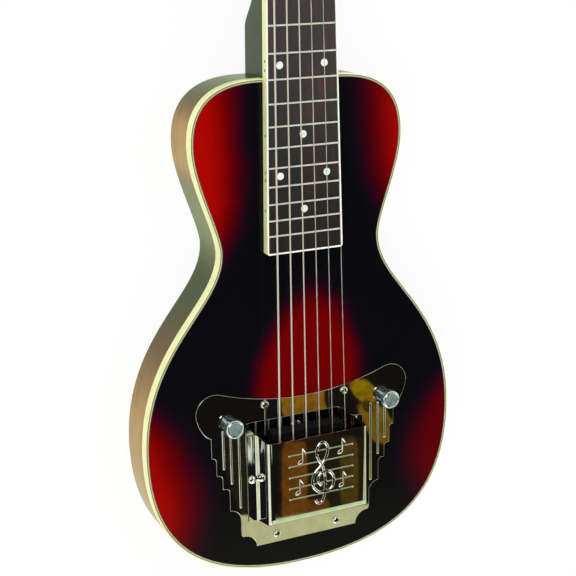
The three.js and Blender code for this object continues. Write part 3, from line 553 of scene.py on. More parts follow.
def makeSides():
    # amber in the bouts, olive black at the waist, the neck joint and the tail, with a painted grey-green
    # reflection over the waist
    f = Finish("amber_sides", "burst_lacquer")
    _, y, z = f.parts(f.place)
    lower = y.step(-72, -20) * (1 - y.step(44, 144))
    upper = y.step(196, 236) * (1 - y.step(252, 286))
    back = (1 - z.step(-39, -34)) * 0.25
    figure = f.grain((0.05, 0.05, 0.7), 5, 0.6)
    streak = f.grain((0.02, 0.02, 0.16), 3)
    amount = lower.larger(upper) * (0.8 + figure * 0.4) - back
    colour = f.ramp(amount, (0, 46, 56, 26), (0.35, 90, 62, 34), (0.7, 132, 94, 54), (1, 164, 126, 76))
    colour = f.blend(streak.step(0.45, 0.75) * 0.35, colour, paint(104, 64, 30))
    # painted reflection: a pale grey-green veil laid over the olive black waist
    waist = y.step(150, 180) * (1 - y.step(206, 228))
    colour = f.blend(waist * 0.8, colour, paint(104, 110, 74))
    return f.done(colour, 0.16 + figure * 0.08, 0.3, bump=(figure, 0.03, 0.3))


def makeCream():
    # cream binding, with a painted highlight that makes the board binding's top face and the body binding's
    # treble side whiter
    f = Finish("cream_plastic", "cream_binding")
    x, _, z = f.parts(f.place)
    speck = f.grain(0.8, 2)
    colour = f.ramp(f.grain(0.05, 4) * 0.8 + speck * 0.2, (0.3, 218, 214, 156), (0.7, 236, 236, 186))
    # painted highlight: whiter on the board binding's top face and on the body binding's treble side
    white = z.step(6.5, 6.75).larger(x.step(-10, 60) * (1 - z.step(0, 0.1)) * 0.7)
    colour = f.blend(white, colour, paint(248, 250, 240))
    return f.done(colour, 0.28 + speck * 0.1, 0.4, bump=(speck, 0.05, 0.1))


def makeLine(name, dark, light):
    # a thin purfling line
    f = Finish(name, "cream_binding")
    speck = f.grain(0.5)
    return f.done(f.blend(speck, paint(*dark), paint(*light)), 0.3 + speck * 0.1)


def makeBlackLacquer():
    # a painted green reflection on the black where the neck meets the body
    f = Finish("black_lacquer", "black_lacquer")
    _, y, _ = f.parts(f.place)
    ripple = f.grain(0.05)
    colour = f.ramp(ripple, (0.3, 14, 14, 12), (0.75, 24, 24, 19))
    # painted reflection: a dark green tint on the black lacquer near the body
    colour = f.blend(1 - y.step(340, 500), colour, paint(21, 38, 24))
    return f.done(colour, 0.14 + ripple * 0.08, 0.42, bump=(ripple, 0.04, 0.3))


def makeRosewood():
    # streaks with dark pores, paler and greyer towards the nut
    f = Finish("rosewood", "rosewood")
    x, y, _ = f.parts(f.place)
    bend = f.grain((0.06, 0.012, 0.06), 2)
    across = f.node("ShaderNodeCombineXYZ", None, {0: x * 0.5 + bend * 5, 1: y * 0.02, 2: 0})
    rings = f.noise(across, 1, 4)
    patch = f.grain((0.05, 0.06, 0.05), 2)
    colour = f.ramp(rings * 0.6 + patch * 0.4,
                    (0.3, 18, 17, 18), (0.5, 28, 27, 27), (0.62, 40, 29, 27), (0.75, 62, 36, 28))
    # the paler, greyer colour that the board turns towards the nut
    nutwardPale = f.ramp(rings * 0.5 + patch * 0.5, (0.35, 58, 62, 58), (0.5, 62, 58, 60), (0.65, 88, 60, 60))
    colour = f.blend(y.step(150, 340) * 0.85, colour, nutwardPale)
    deep = f.grain((3.2, 0.16, 3), 5, 0.7).step(0.42, 0.3)
    colour = f.blend(deep * 0.7, colour, paint(11, 9, 9))
    return f.done(colour, 0.5 + deep * 0.25, 0.25, bump=(1 - deep, 0.35, 0.12))


def makeMetal(name, slot, dark, light, rough, wear, metal=1):
    # plated or bare metal with small changes of gloss
    f = Finish(name, slot)
    cloud = f.grain(0.12)
    colour = f.blend(cloud.step(0.3, 0.7), paint(*dark), paint(*light))
    return f.done(colour, rough + f.grain(2) * wear, metal=metal, bump=(cloud, 0.02, 0.05))


knobSize = Sizes(
    spread=61.5, place=50.2, radius=6.8, neck=4.9, height=16.4, lift=2.1, bore=3.3, boreDepth=13.4,
    rimLow=18, rimFull=18.4, faceIn=4.7, faceOut=5,
)


def makeKnobMetal():
    # painted reflection streaks, dark and bright, along the neck, a painted highlight over the rim and a
    # satin face
    k = knobSize
    f = Finish("knob_metal", "knob_chrome")
    x, y, z = f.parts(f.place)
    out = ((abs(x) - k.spread) ** 2 + (y - k.place) ** 2) ** 0.5
    rim = z.step(k.rimLow, k.rimFull)
    face = (1 - out.step(k.faceIn, k.faceOut)) * rim
    cloud = f.grain(0.4, 4)
    streak = f.grain((1, 1, 0.12))
    # painted reflection: dark and bright streaks running along the knob's axis
    neck = f.ramp(streak * 0.6 + cloud * 0.4,
                  (0.3, 20, 26, 28), (0.45, 62, 76, 82), (0.54, 104, 122, 128), (0.64, 206, 218, 220))
    # painted highlight: the rim above rimLow is pale
    colour = f.blend(rim, neck, paint(224, 234, 236))
    satin = f.ramp(cloud, (0.3, 112, 138, 146), (0.7, 160, 186, 192))
    colour = f.blend(face, colour, satin)
    rough = 0.22 + cloud * 0.1 - rim * 0.1 + face * 0.2
    return f.done(colour, rough, metal=rim * 0.5 + 0.5 - face * 0.4, bump=(cloud, 0.12, 0.08))


def makeWound(pitch=0.5):
    # painted highlight and painted shade on each round turn of the winding across the string
    f = Finish("wound_string", "string_wound")
    _, y, _ = f.parts(f.place)
    turns = (y * (2 * math.pi / pitch)).maths("SINE", y * (2 * math.pi / pitch))
    # painted highlight on each turn's crest and painted shade between the turns
    colour = f.blend(turns * 0.5 + 0.5, paint(150, 140, 130), paint(255, 246, 236))
    return f.done(colour, 0.36 + turns * 0.06, metal=0.35)


def makePearl():
    f = Finish("pearl_dot", "bone")
    swirl = f.grain(0.35, 4)
    colour = f.ramp(swirl, (0.35, 200, 212, 206), (0.5, 232, 240, 234), (0.65, 246, 250, 246))
    return f.done(colour, 0.22 + swirl * 0.1)


def makePlain(name, slot, dark, light, rough, scale=0.6, metal=0, shine=0.5):
    # moulded or turned stuff with a slightly mottled surface
    f = Finish(name, slot)
    speck = f.grain(scale, 4)
    colour = f.blend(speck.step(0.3, 0.7), paint(*dark), paint(*light))
    return f.done(colour, rough + speck * 0.12, shine, metal, bump=(speck, 0.1, 0.1))


burstTop = makeBurst()
amberSides = makeSides()
creamPlastic = makeCream()
darkLine = makeLine("dark_line", (36, 40, 30), (70, 78, 58))
greyLine = makeLine("grey_line", (84, 98, 60), (112, 126, 84))
paleLine = makeLine("pale_line", (168, 163, 138), (200, 195, 170))
blackLacquer = makeBlackLacquer()
rosewood = makeRosewood()
chrome = makeMetal("bright_chrome", "bright_chrome", (232, 234, 228), (246, 247, 242), 0.002, 0.03)
nickel = makeMetal("nickel_plate", "nickel", (222, 220, 210), (244, 242, 234), 0.1, 0.06)
steel = makeMetal("plain_steel", "steel_parts", (150, 152, 156), (186, 188, 190), 0.28, 0.15)
stringSteel = makeMetal("string_steel", "string_plain", (184, 176, 164), (220, 214, 202), 0.3, 0.1, 0.5)
fretNickel = makeMetal("fret_nickel", "nickel", (232, 232, 222), (250, 250, 244), 0.25, 0.1, 0.4)
knobMetal = makeKnobMetal()
brass = makeMetal("shaft_brass", "shaft_brass", (176, 140, 60), (206, 170, 88), 0.3, 0.15)
wound = makeWound()
pearl = makePearl()
bone = makePlain("bone", "bone", (226, 218, 190), (244, 238, 218), 0.3)
fibre = makePlain("black_fibre", "black_fibre", (4, 5, 6), (10, 12, 13), 0.7, shine=0.04)
magnetIron = makePlain("magnet_iron", "steel_parts", (10, 11, 13), (22, 23, 25), 0.5, shine=0.15)
copper = makePlain("copper_wire", "copper_wire", (120, 54, 26), (186, 98, 54), 0.35, 1.5, 0.7)
film = makePlain("capacitor_film", "capacitor_film", (150, 84, 34), (192, 118, 56), 0.35)
buttonPlastic = makePlain("button_plastic", "button_plastic", (224, 214, 182), (244, 236, 212), 0.22, 0.12)
blackInlay = makePlain("black_inlay", "black_fibre", (14, 14, 14), (34, 32, 30), 0.35)
print("finishes made")


# Body: widths are halves, reaches shape the curves
bodySize = Sizes(
    tail=-73.3, depth=39.2, backRound=3,
    lowerHalf=121.2, lowerPlace=31.5, tailReach=89, lowerDown=63.9, lowerUp=79.8,
    waistHalf=61.5, waistPlace=170.5, waistDown=36.6, waistUp=14.7,
    upperHalf=79.6, upperPlace=243.2, upperDown=24.3, upperUp=28.6,
    seatHalf=30, shoulderIn=33.5, headPlace=286.4,
)
# Edge trim from the outside in; each line is (name, width)
trimSize = Sizes(
    height=7, creamWidth=0.9, edge=0.35, steps=24,
    lines=[("grey", 0.7), ("pale", 0.65), ("dark", 0.45)], lineDepth=2,
)
cavitySize = Sizes(
    depth=26, half=28, tail=-25, head=40, channel=36, channelWidth=14,
    wellRadius=15, wellSpread=knobSize.spread, wellPlace=knobSize.place,
    pilotRadius=1.5, pilotPlace=-5, pilotLength=16,
)
jackSize = Sizes(
    seatDepth=0.8, seatHalf=15, boreRadius=11, height=-19.6,
    plateRadius=13, plateThick=1.5, barrelRadius=4.75, socketRadius=3.3,
    stickOut=3.6, nutRadius=7, nutThick=2.2, socketDepth=26, canLength=22,
    canRadius=8, endWall=1.5, threads=5, nutEdge=0.35, nutGap=0.05,
)


def bodyPen():
    s = bodySize
    pen = Pen(0, s.tail)
    pen.curve((s.tailReach, s.tail), (s.lowerHalf, s.lowerPlace - s.lowerDown),
              (s.lowerHalf, s.lowerPlace))
    pen.curve((s.lowerHalf, s.lowerPlace + s.lowerUp),
              (s.waistHalf, s.waistPlace - s.waistDown),
              (s.waistHalf, s.waistPlace))
    pen.curve((s.waistHalf, s.waistPlace + s.waistUp),
              (s.upperHalf, s.upperPlace - s.upperDown),
              (s.upperHalf, s.upperPlace))
    pen.curve((s.upperHalf, s.upperPlace + s.upperUp),
              (s.seatHalf + s.shoulderIn, s.headPlace),
              (s.seatHalf, s.headPlace))
    return pen


def jackSeat():
    s, b = jackSize, bodySize
    ys = (b.tail - overrun, b.tail + s.seatDepth)
    return addBox("jack_seat", (-s.seatHalf, s.seatHalf), ys, (-b.depth - overrun, overrun))


def makeBody():
    s, c, j = bodySize, cavitySize, jackSize
    trim = trimSize.creamWidth + sum(width for _, width in trimSize.lines)
    wood = bodyPen().slab("body_wood", -s.depth, -trimSize.height, trimSize.steps)
    openMesh(wood)
    bevelEdges(lambda at, way: at.z < -s.depth + hair, s.backRound, 4)
    pick("FACE", lambda at, way: at.z > -trimSize.height - hair and way.z > 0.9)
    bpy.ops.mesh.inset(thickness=(trim - hair) * mm)
    drawOut(z=trimSize.height)
    putDown()
    deep = (-c.depth, overrun)
    channel = (c.channel - c.channelWidth / 2, c.channel + c.channelWidth / 2)
    cutters = [
        addBox("hollow", (-c.half, c.half), (c.tail, c.head), deep),
        addBox("channel", (-c.wellSpread, c.wellSpread), channel, deep),
        jackSeat(),
    ]
    for side in (-1, 1):
        middle = spot(side * c.wellSpread, c.wellPlace, (deep[0] + deep[1]) / 2)
        cutters.append(addRod("well", middle, c.wellRadius, deep[1] - deep[0]))
    length = c.tail - s.tail + 2 * overrun
    middle = spot(0, s.tail - overrun + length / 2, j.height)
    cutters.append(addRod("bore", middle, j.boreRadius, length, alongY))
    for x, y in screwSpots():
        cutters.append(addRod("pilot", spot(x, y, c.pilotPlace), c.pilotRadius, c.pilotLength, sides=16))
    smoothed(cut(wood, cutters), 30)
    fitted(wood, amberSides, "body")
    wood.data.materials.append(burstTop)
    for polygon in wood.data.polygons:
        if polygon.normal.z > 0.9 and polygon.center.z > spot(0, 0, -1).z:
            polygon.material_index = 1


def makeTrim():
    t = trimSize
    pen = bodyPen()
    cream = pen.ring("edge_binding", -t.height, 0, 0, t.creamWidth, t.steps)
    cut(cream, [jackSeat()])
    roundEdges(cream, t.edge, 3)
    fitted(cream, creamPlastic, "body_binding")
    inset = t.creamWidth
    for (name, width), finish in zip(t.lines, (greyLine, paleLine, darkLine)):
        line = pen.ring("purfling_" + name, -t.lineDepth, 0, inset, width, t.steps)
        fitted(smoothed(line), finish)
        inset += width


# Neck and headstock
neckSize = Sizes(
    depthAtNut=22, depthAtHeel=25.8, heelDepth=37.5, heelEnd=286.4, heelFull=318,
    heelStart=341, sideShare=0.6, heelShare=0.78, runs=8, rings=6, inset=0.2,
    arcSides=32,
)
boardSize = Sizes(
    scale=571.5, frets=20, end=166.81, endHalf=28.8, nutHalf=21.05, thick=6.8,
    binding=1.3, fretWidth=1.2, fretHeight=0.95, nutThick=6, nutHeight=9.8,
    corner=1.8, edge=0.3, nutRise=0.2, nutRound=1.6, nutGap=0.3,
)
headSize = Sizes(
    length=142, thick=15, drop=6, shoulderHalf=31, shoulderPlace=26,
    endHalf=34, crown=10, waistHalf=29, waistReach=15, endReach=20, round=1.6,
    holeRadius=3.4, holeMiddle=-13,
)


def boardHalf(y):
    b = boardSize
    along = (y - b.end) / (b.scale - b.end)
    return b.endHalf + (b.nutHalf - b.endHalf) * along


def neckSections():
    # (place, depth, share of the depth that is straight) from the body to the nut
    s = neckSize
    sections = [(s.heelEnd, s.heelDepth, s.heelShare)]
    for i in range(s.runs + 1):
        along = i / s.runs
        ease = along * along * (3 - 2 * along)
        place = s.heelFull + (s.heelStart - s.heelFull) * along
        depth = s.heelDepth + (s.depthAtHeel - s.heelDepth) * ease
        share = s.heelShare + (s.sideShare - s.heelShare) * ease
        sections.append((place, depth, share))
    last = boardSize.scale + boardSize.nutThick
    for i in range(1, s.rings + 1):
        along = i / s.rings
        place = s.heelStart + (last - s.heelStart) * along
        depth = s.depthAtHeel + (s.depthAtNut - s.depthAtHeel) * along
        sections.append((place, depth, s.sideShare))
    return sections


def makeNeckBar():
    # starts as a half round at the body, then is drawn out and resized section by section
    s = neckSize
    sections = neckSections()
    place, depth, share = sections[0]
    half = boardHalf(place) - s.inset
    putDown()
    bpy.ops.mesh.primitive_circle_add(
        vertices=s.arcSides, radius=mm, fill_type="NOTHING", rotation=alongY
    )
    neck = settled("neck_and_head")
    openMesh(neck)
    origin = spot(0, 0).z
    pick("VERT", lambda at, way: at.z * mm + origin > hair * mm)
    bpy.ops.mesh.delete(type="VERT")
    pickAll()
    side = depth * share
    resized((0, 0, 0), half, 1, depth - side)
    bpy.ops.transform.translate(value=spot(0, place, -side))
    pick("VERT", lambda at, way: abs(at.z + side) < hair and abs(at.x) > half - 1)
    drawOut(z=side)
    bpy.ops.mesh.select_mode(type="EDGE")
    pickAll()
    bpy.ops.mesh.edge_face_add()
    for nextPlace, nextDepth, nextShare in sections[1:]:
        nextHalf = boardHalf(nextPlace) - s.inset
        nextSide = nextDepth * nextShare
        pick("FACE", lambda at, way: abs(at.y - place) < hair)
        drawOut(y=nextPlace - place)
        resized(spot(0, nextPlace, 0), x=nextHalf / half)
        pick("VERT", lambda at, way: abs(at.y - nextPlace) < hair and at.z < -side + hair)
        resized(spot(0, nextPlace, -side), z=(nextDepth - nextSide) / (depth - side))
        moved(z=side - nextSide)
        place, half, depth, side = nextPlace, nextHalf, nextDepth, nextSide
    faceOut()
    putDown()
    return neck


def headPen():
    s = headSize
    root = boardHalf(boardSize.scale) - neckSize.inset
    back = boardSize.scale + boardSize.nutThick
    shoulder = back + s.shoulderPlace
    end = back + s.length
    pen = Pen(0, boardSize.scale)
    pen.line(root, boardSize.scale)
    pen.line(root, back)
    pen.curve((root, (back + shoulder) / 2), (s.shoulderHalf, (back + shoulder) / 2),
              (s.shoulderHalf, shoulder))
    middle = (shoulder + end) / 2
    pen.curve((s.waistHalf, middle - s.waistReach), (s.waistHalf + 1, middle + s.endReach),
              (s.endHalf, end - s.crown))
    pen.curve((s.endHalf * 0.7, end - 2), (s.endHalf * 0.3, end), (0, end))
    return pen


def makeNeck():
    s = headSize
    neck = makeNeckBar()
    head = headPen().slab("head", -s.drop - s.thick, -s.drop, 12)
    roundEdges(head, s.round, 3, 50)
    cut(neck, [head], "UNION")
    holes = [addRod("hole", spot(x, y, s.holeMiddle), s.holeRadius, 2 * s.thick)
             for x, y, _ in tunerSpots()]
    smoothed(cut(neck, holes), 40)
    fitted(neck, blackLacquer, "neck")


def boardSlab(name, inset, low, high):
    # tapered strip over the whole board
    b = boardSize
    start, end = b.end + inset, b.scale
    made = addBox(name, (-1, 1), (start, end), (low, high))
    openMesh(made)
    for y in (start, end):
        pick("VERT", lambda at, way: abs(at.y - y) < 1)
        resized(spot(0, y, 0), x=boardHalf(y) - inset)
    putDown()
    return made


def makeBoard():
    b = boardSize
    board = boardSlab("rosewood_board", b.binding, hair, b.thick)
    fitted(smoothed(board), rosewood, "fretboard")
    edge = boardSlab("board_edge_binding", 0, 0, b.thick)
    bevelled(edge, lambda at, way: abs(way.z) > 0.9 and at.y < b.end + 1, b.corner, 5)
    inner = boardSlab("inner", b.binding - hair, -overrun, b.thick + overrun)
    openMesh(inner)
    pick("VERT", lambda at, way: at.y > b.scale - 1)
    moved(y=overrun)
    putDown()
    cut(edge, [inner])
    roundEdges(edge, b.edge)
    fitted(edge, creamPlastic, "fretboard_binding")
    for fret in range(1, b.frets + 1):
        makeFret(fret)


def fretPlace(fret):
    return boardSize.scale * 2 ** (-fret / 12)


def makeFret(fret):
    # crowned wire: a rod flattened and cut off at the board's face
    b = boardSize
    y = fretPlace(fret)
    half = boardHalf(y) - b.binding
    radius = b.fretWidth / 2
    centre = spot(0, y, b.thick)
    wire = addRod("fret_%02d" % fret, centre, radius, 2 * half, alongX, 24)
    openMesh(wire)
    resized(centre, z=b.fretHeight / radius)
    low = spot(0, y, b.thick + hair)
    bpy.ops.mesh.bisect(plane_co=low, plane_no=(0, 0, 1), use_fill=True, clear_inner=True)
    faceOut()
    putDown()
    fitted(smoothed(wire), fretNickel)


# Dots, in the board and in its bass edge: (place, spread from the middle) or (place, height)
dotSize = Sizes(
    radius=2.55, rise=0.08, depth=0.6, edge=0.2, aside=-0.5,
    dots=[(294.9, 16.4), (248.3, 0), (221, 17.5), (197, 0)],
    lowDots=[(9, 0), (7, 0), (5, 16), (3, 0)],
    sideRadius=0.9, sideHeight=4, pairSpread=6, sidePlaces=[248.7, 223.8, 218.4, 197.8],
)


def spacePlace(fret):
    # the middle of the space before a fret
    return (fretPlace(fret) + fretPlace(fret - 1)) / 2


def makeDots():
    d, b = dotSize, boardSize
    places = d.dots + [(spacePlace(fret), spread) for fret, spread in d.lowDots]
    r, top = d.radius, d.depth + d.rise
    profile = [(0, 0), (r, 0), (r, d.depth), (r - d.edge, top), (0, d.depth + d.rise * 1.3)]
    spots = [(x, y) for y, spread in places for x in sorted({-spread, spread})]
    for i, (x, y) in enumerate(spots):
        foot = spot(x + d.aside, y, b.thick - d.depth)
        dot = addTurned("pearl_dot_%d" % (i + 1), profile, foot, steps=32)
        fitted(smoothed(dot), pearl)
    twelfth = fretPlace(12)
    sides = d.sidePlaces + [twelfth + d.pairSpread, twelfth + 2 * d.pairSpread]
    sides += [spacePlace(fret) for fret, _ in d.lowDots]
    r = d.sideRadius
    profile = [(0, -0.5), (r, -0.5), (r, 0.02), (r * 0.7, 0.05), (0, 0.06)]
    for i, y in enumerate(sides):
        foot = spot(-boardHalf(y), y, d.sideHeight)
        dot = addTurned("side_dot_%d" % (i + 1), profile, foot, (0, -math.pi / 2, 0), 20)
        fitted(smoothed(dot), blackInlay)


# Strings
stringSize = Sizes(
    widths=[1.28, 1.06, 0.86, 0.68, 0.5, 0.42], bridgeSpan=53, nutSpan=37.6,
    bridgeHeight=14.2, nutHeight=9.8, anchorPlace=-18, anchorHeight=9.6,
    ballRadius=1.9, ballLength=3.6, ballHole=0.6, wraps=3.5, wrapSteps=12, slack=0.1,
)
tunerSize = Sizes(
    pitch=36, first=31, spread=18, postRadius=3, postRise=13, hole=8.5,
    gearRadius=5.9, rootRadius=4.7, gearThick=3.4, teeth=12, wormRadius=3.2,
    wormRoot=2.3, shaftRadius=1.7, offset=9.35, wormTurns=6,
    buttonStart=37, buttonLength=15, buttonRadius=8.6, buttonShare=0.5,
    ferruleRadius=5.2, ferruleRise=1.2, ferruleHole=3.35, stringHole=0.8, wormShort=0.25,
    wormTail=4.4, collar=3,
)


def tunerSpots():
    t = tunerSize
    back = boardSize.scale + boardSize.nutThick
    spots = []
    for i in range(6):
        side = -1 if i < 3 else 1
        row = i if i < 3 else 5 - i
        spots.append((side * t.spread, back + t.first + row * t.pitch, side))
    return spots


def stringX(index, span):
    return span * (index / 5 - 0.5)


def makeNut():
    b, s = boardSize, stringSize
    half = boardHalf(b.scale)
    bar = addBox("bone_nut", (-half, half), (b.scale + b.nutGap, b.scale + b.nutThick),
                 (hair, b.nutHeight + b.nutRise))
    bevelled(bar, lambda at, way: at.z > b.nutHeight and abs(way.x) > 0.9, b.nutRound, 4)
    slots = []
    for i, width in enumerate(s.widths):
        x, reach = stringX(i, s.nutSpan), width / 2 + s.slack
        centre = spot(x, b.scale + b.nutThick / 2, b.nutHeight)
        slots.append(addRod("slot", centre, reach, 2 * b.nutThick, alongY, 16))
        ys = (b.scale - b.nutThick / 2, b.scale + b.nutThick * 1.5)
        zs = (b.nutHeight, b.nutHeight + b.nutThick / 2)
        slots.append(addBox("slot", (x - reach, x + reach), ys, zs))
    cut(bar, slots)
    roundEdges(bar, 0.25, 2, 50)
    fitted(bar, bone, "nut")


def makeStrings():
    s, b = stringSize, boardSize
    back = s.anchorPlace - 1.3
    r, h = s.ballRadius, s.ballLength
    barrel = [(s.ballHole, 0), (r - 0.4, 0), (r, 0.4), (r * 0.8, h / 2), (r, h - 0.4), (r - 0.4, h),
              (s.ballHole, h), (s.ballHole, 0)]
    for i, width in enumerate(s.widths):
        name = "string_%d" % (i + 1)
        x, nutX = stringX(i, s.bridgeSpan), stringX(i, s.nutSpan)
        postX, postY, side = tunerSpots()[i]
        touch = postX - side * wrapLie(width)
        points = [
            spot(x, back - 1, s.anchorHeight),
            spot(x, s.anchorPlace + 2, s.anchorHeight),
            spot(x, 0, s.bridgeHeight),
            spot(nutX, b.scale, s.nutHeight),
            spot(nutX, b.scale + b.nutThick, s.nutHeight - width / 4),
            spot(touch, postY, tunerSize.hole - headSize.drop),
        ]
        wire = addTube(name + "_wire", points, width / 2, 2, smooth=False)
        ball = addTurned("ball", barrel, spot(x, back - h / 2, s.anchorHeight - h / 2), steps=20)
        surface = wound if i < 3 else stringSteel
        fitted(smoothed(joined([wire, ball], name + "_wire")), surface, name)
        makeWrap(i, width, surface)


def wrapLie(width):
    # how far a string's middle lies from its post's
    return tunerSize.postRadius + width / 2 + stringSize.slack / 2


def makeWrap(index, width, surface):
    # turns of the string round its post, which go round with it
    s, t = stringSize, tunerSize
    postX, postY, side = tunerSpots()[index]
    lie = wrapLie(width)
    points = []
    for k in range(int(s.wraps * s.wrapSteps) + 1):
        turns = k / s.wrapSteps
        angle = (math.pi if side > 0 else 0) + side * 2 * math.pi * turns
        height = t.hole - headSize.drop - (width + s.slack / 2) * turns
        points.append(spot(postX + lie * math.cos(angle), postY + lie * math.sin(angle), height))
    wrap = addTube("string_%d_wrap" % (index + 1), points, width / 2, 2)
    fitted(smoothed(wrap), surface, body="post_%d" % (index + 1))


# Base plate: a stepped outline that ends in two round lobes, with raised ribs
plateSize = Sizes(
    thick=1.2, tail=-51.6, tailHalf=40.5, tailCove=9.7, hipHalf=52.4,
    hipRise=5.5, hipTop=-27.6, hipCove=8, stepHalves=[60.4, 65.4, 69.8, 73.1],
    stepTops=[-4.6, 6.4, 20.6], stepCove=2.8, footPlace=38.6, footBulge=6.7,
    footRise=1.9, lobeSpread=69.8, lobePlace=57.2, lobeRadius=13.9,
    lobeStart=-15, valley=59, edge=0.35,
    ribSpreads=[52.9, 59.1, 64.8], ribTails=[-18.5, 1.5, 13.7], ribHead=43.4,
    ribWidth=1.9, ribHeight=1.1, ribAside=0.6, shaftHole=4, wireHole=(33.5, 20, 2.5),
)
screwSize = Sizes(
    radius=3, height=2.1, shank=1.4, length=14, slotWidth=0.7, slotDepth=0.6,
    headSpread=31.5, headPlace=57.2, tailSpread=24.2, tailPlace=-45.1,
    flangeSpread=43.4, flangePlace=2.3, hole=1.6, drill=4, lift=0.12,
    turns=[0.4, 1.1, -0.5, 0.2, 0.9, -0.3],
)


def platePen():
    s = plateSize
    pen = Pen(0, s.tail)
    pen.line(s.tailHalf, s.tail)
    pen.arc(s.tailHalf + s.tailCove, s.tail, s.tailCove, 180, 90)
    cusp = s.tail + s.tailCove
    hip = (s.hipHalf, cusp + s.hipRise)
    pen.curve((s.hipHalf - 0.5, cusp), (s.hipHalf, cusp + 2), hip)
    pen.line(s.hipHalf, s.hipTop)
    pen.arc(s.hipHalf + s.hipCove, s.hipTop, s.hipCove, 180, 90)
    for i, top in enumerate(s.stepTops):
        pen.line(s.stepHalves[i], top)
        pen.arc(s.stepHalves[i] + s.stepCove, top, s.stepCove, 180, 90)
        pen.line(s.stepHalves[i + 1], top + s.stepCove)
    foot = s.stepHalves[-1]
    pen.line(foot, s.footPlace)
    start = math.radians(s.lobeStart)
    lobeX = s.lobeSpread + s.lobeRadius * math.cos(start)
    lobeY = s.lobePlace + s.lobeRadius * math.sin(start)
    bulge = (foot + s.footBulge, s.footPlace + s.footRise)
    pen.curve((foot + s.footBulge * 0.6, s.footPlace + s.footRise * 0.6),
              (bulge[0] + (lobeX - bulge[0]) * 0.4, bulge[1] + (lobeY - bulge[1]) * 0.4),
              (lobeX, lobeY))
    rise = s.valley - s.lobePlace
    hollow = (s.lobeSpread ** 2 + rise ** 2 - s.lobeRadius ** 2) / (2 * (s.lobeRadius - rise))
    centre = s.valley + hollow
    slope = math.degrees(math.atan2(centre - s.lobePlace, -s.lobeSpread))
    pen.arc(s.lobeSpread, s.lobePlace, s.lobeRadius, s.lobeStart, slope)
    pen.arc(0, centre, hollow, slope - 180, -90)
    return pen


def screwSpots():
    s = screwSize
    spots = []
    for side in (-1, 1):
        spots += [(side * s.headSpread, s.headPlace), (side * s.tailSpread, s.tailPlace)]
    return spots + [(-s.flangeSpread, s.flangePlace), (s.flangeSpread, s.flangePlace)]


def makeRib(x, tail):
    # a ball stretched along the plate and flattened
    s = plateSize
    radius = s.ribWidth / 2
    rib = addBall("rib", spot(x, tail + radius, s.thick), radius, 24, 12, alongY)
    openMesh(rib)
    pick("VERT", lambda at, way: at.y > tail + radius + hair)
    moved(y=s.ribHead - tail - 2 * radius)
    pickAll()
    resized(spot(x, tail, s.thick), z=s.ribHeight / radius)
    putDown()
    return rib


def makePlate():
    s = plateSize
    plate = platePen().slab("metal_base_plate", hair, s.thick, 10)
    bevelled(plate, lambda at, way: at.z > s.thick - hair, s.edge, 3)
    ribs = [makeRib(side * x + s.ribAside, tail) for side in (-1, 1)
            for x, tail in zip(s.ribSpreads, s.ribTails)]
    cut(plate, ribs, "UNION")
    holes = screwHoles(screwSpots(), 0)
    wireX, wireY, wireRadius = s.wireHole
    for x, y, radius in ((-knobSize.spread, knobSize.place, s.shaftHole),
                         (knobSize.spread, knobSize.place, s.shaftHole), (wireX, wireY, wireRadius)):
        holes.append(addRod("hole", spot(x, y, 0), radius, 2 * screwSize.drill))
    smoothed(cut(plate, holes), 30)
    fitted(plate, chrome, "base_plate")


def screwHoles(spots, height):
    s = screwSize
    return [addRod("hole", spot(x, y, height), s.hole, 2 * s.drill, sides=20) for x, y in spots]


def makeScrews():
    # one domed, slotted screw, copied to its places with the slot turned each time
    s = screwSize
    r, end = s.radius, -s.length
    profile = [(0, end), (0.3, end + 0.3), (s.shank, end + 3), (s.shank, -0.1), (r - 0.1, -0.1),
               (r, 0.1), (r * 0.98, 0.45), (r * 0.91, 0.95), (r * 0.78, 1.4), (r * 0.6, 1.75),
               (r * 0.38, 1.98), (r * 0.18, 2.08), (0, s.height)]
    first = addTurned("screw", profile, spot(0, 0, 0), steps=36)
    low = s.height - s.slotDepth
    slot = addBox("slot", (-4, 4), (-s.slotWidth / 2, s.slotWidth / 2), (low, low + overrun))
    cut(first, [slot])
    roundEdges(first, 0.06, 1, 50)
    names = [("domed_screw_%d" % n, "plate_screw_%d" % n) for n in range(1, 5)]
    names += [("flange_screw_" + side, "cover_screw_" + side) for side in ("bass", "treble")]
    for i, (x, y) in enumerate(screwSpots()):
        seat = plateSize.thick + s.lift + (0 if i < 4 else coverSize.sheet)
        piece = copied(first, names[i][0], (x, y, seat), s.turns[i])
        fitted(piece, nickel, names[i][1])
    takeUp(first)
    bpy.ops.object.delete()


# Pickup cover
coverSize = Sizes(
    half=39.5, head=36, tail=-30.6, lean=4.2, height=22.7, sheet=1, bend=4.2,
    flange=7.2, footBend=2.8, tailGap=0.25, rim=0.4,
)


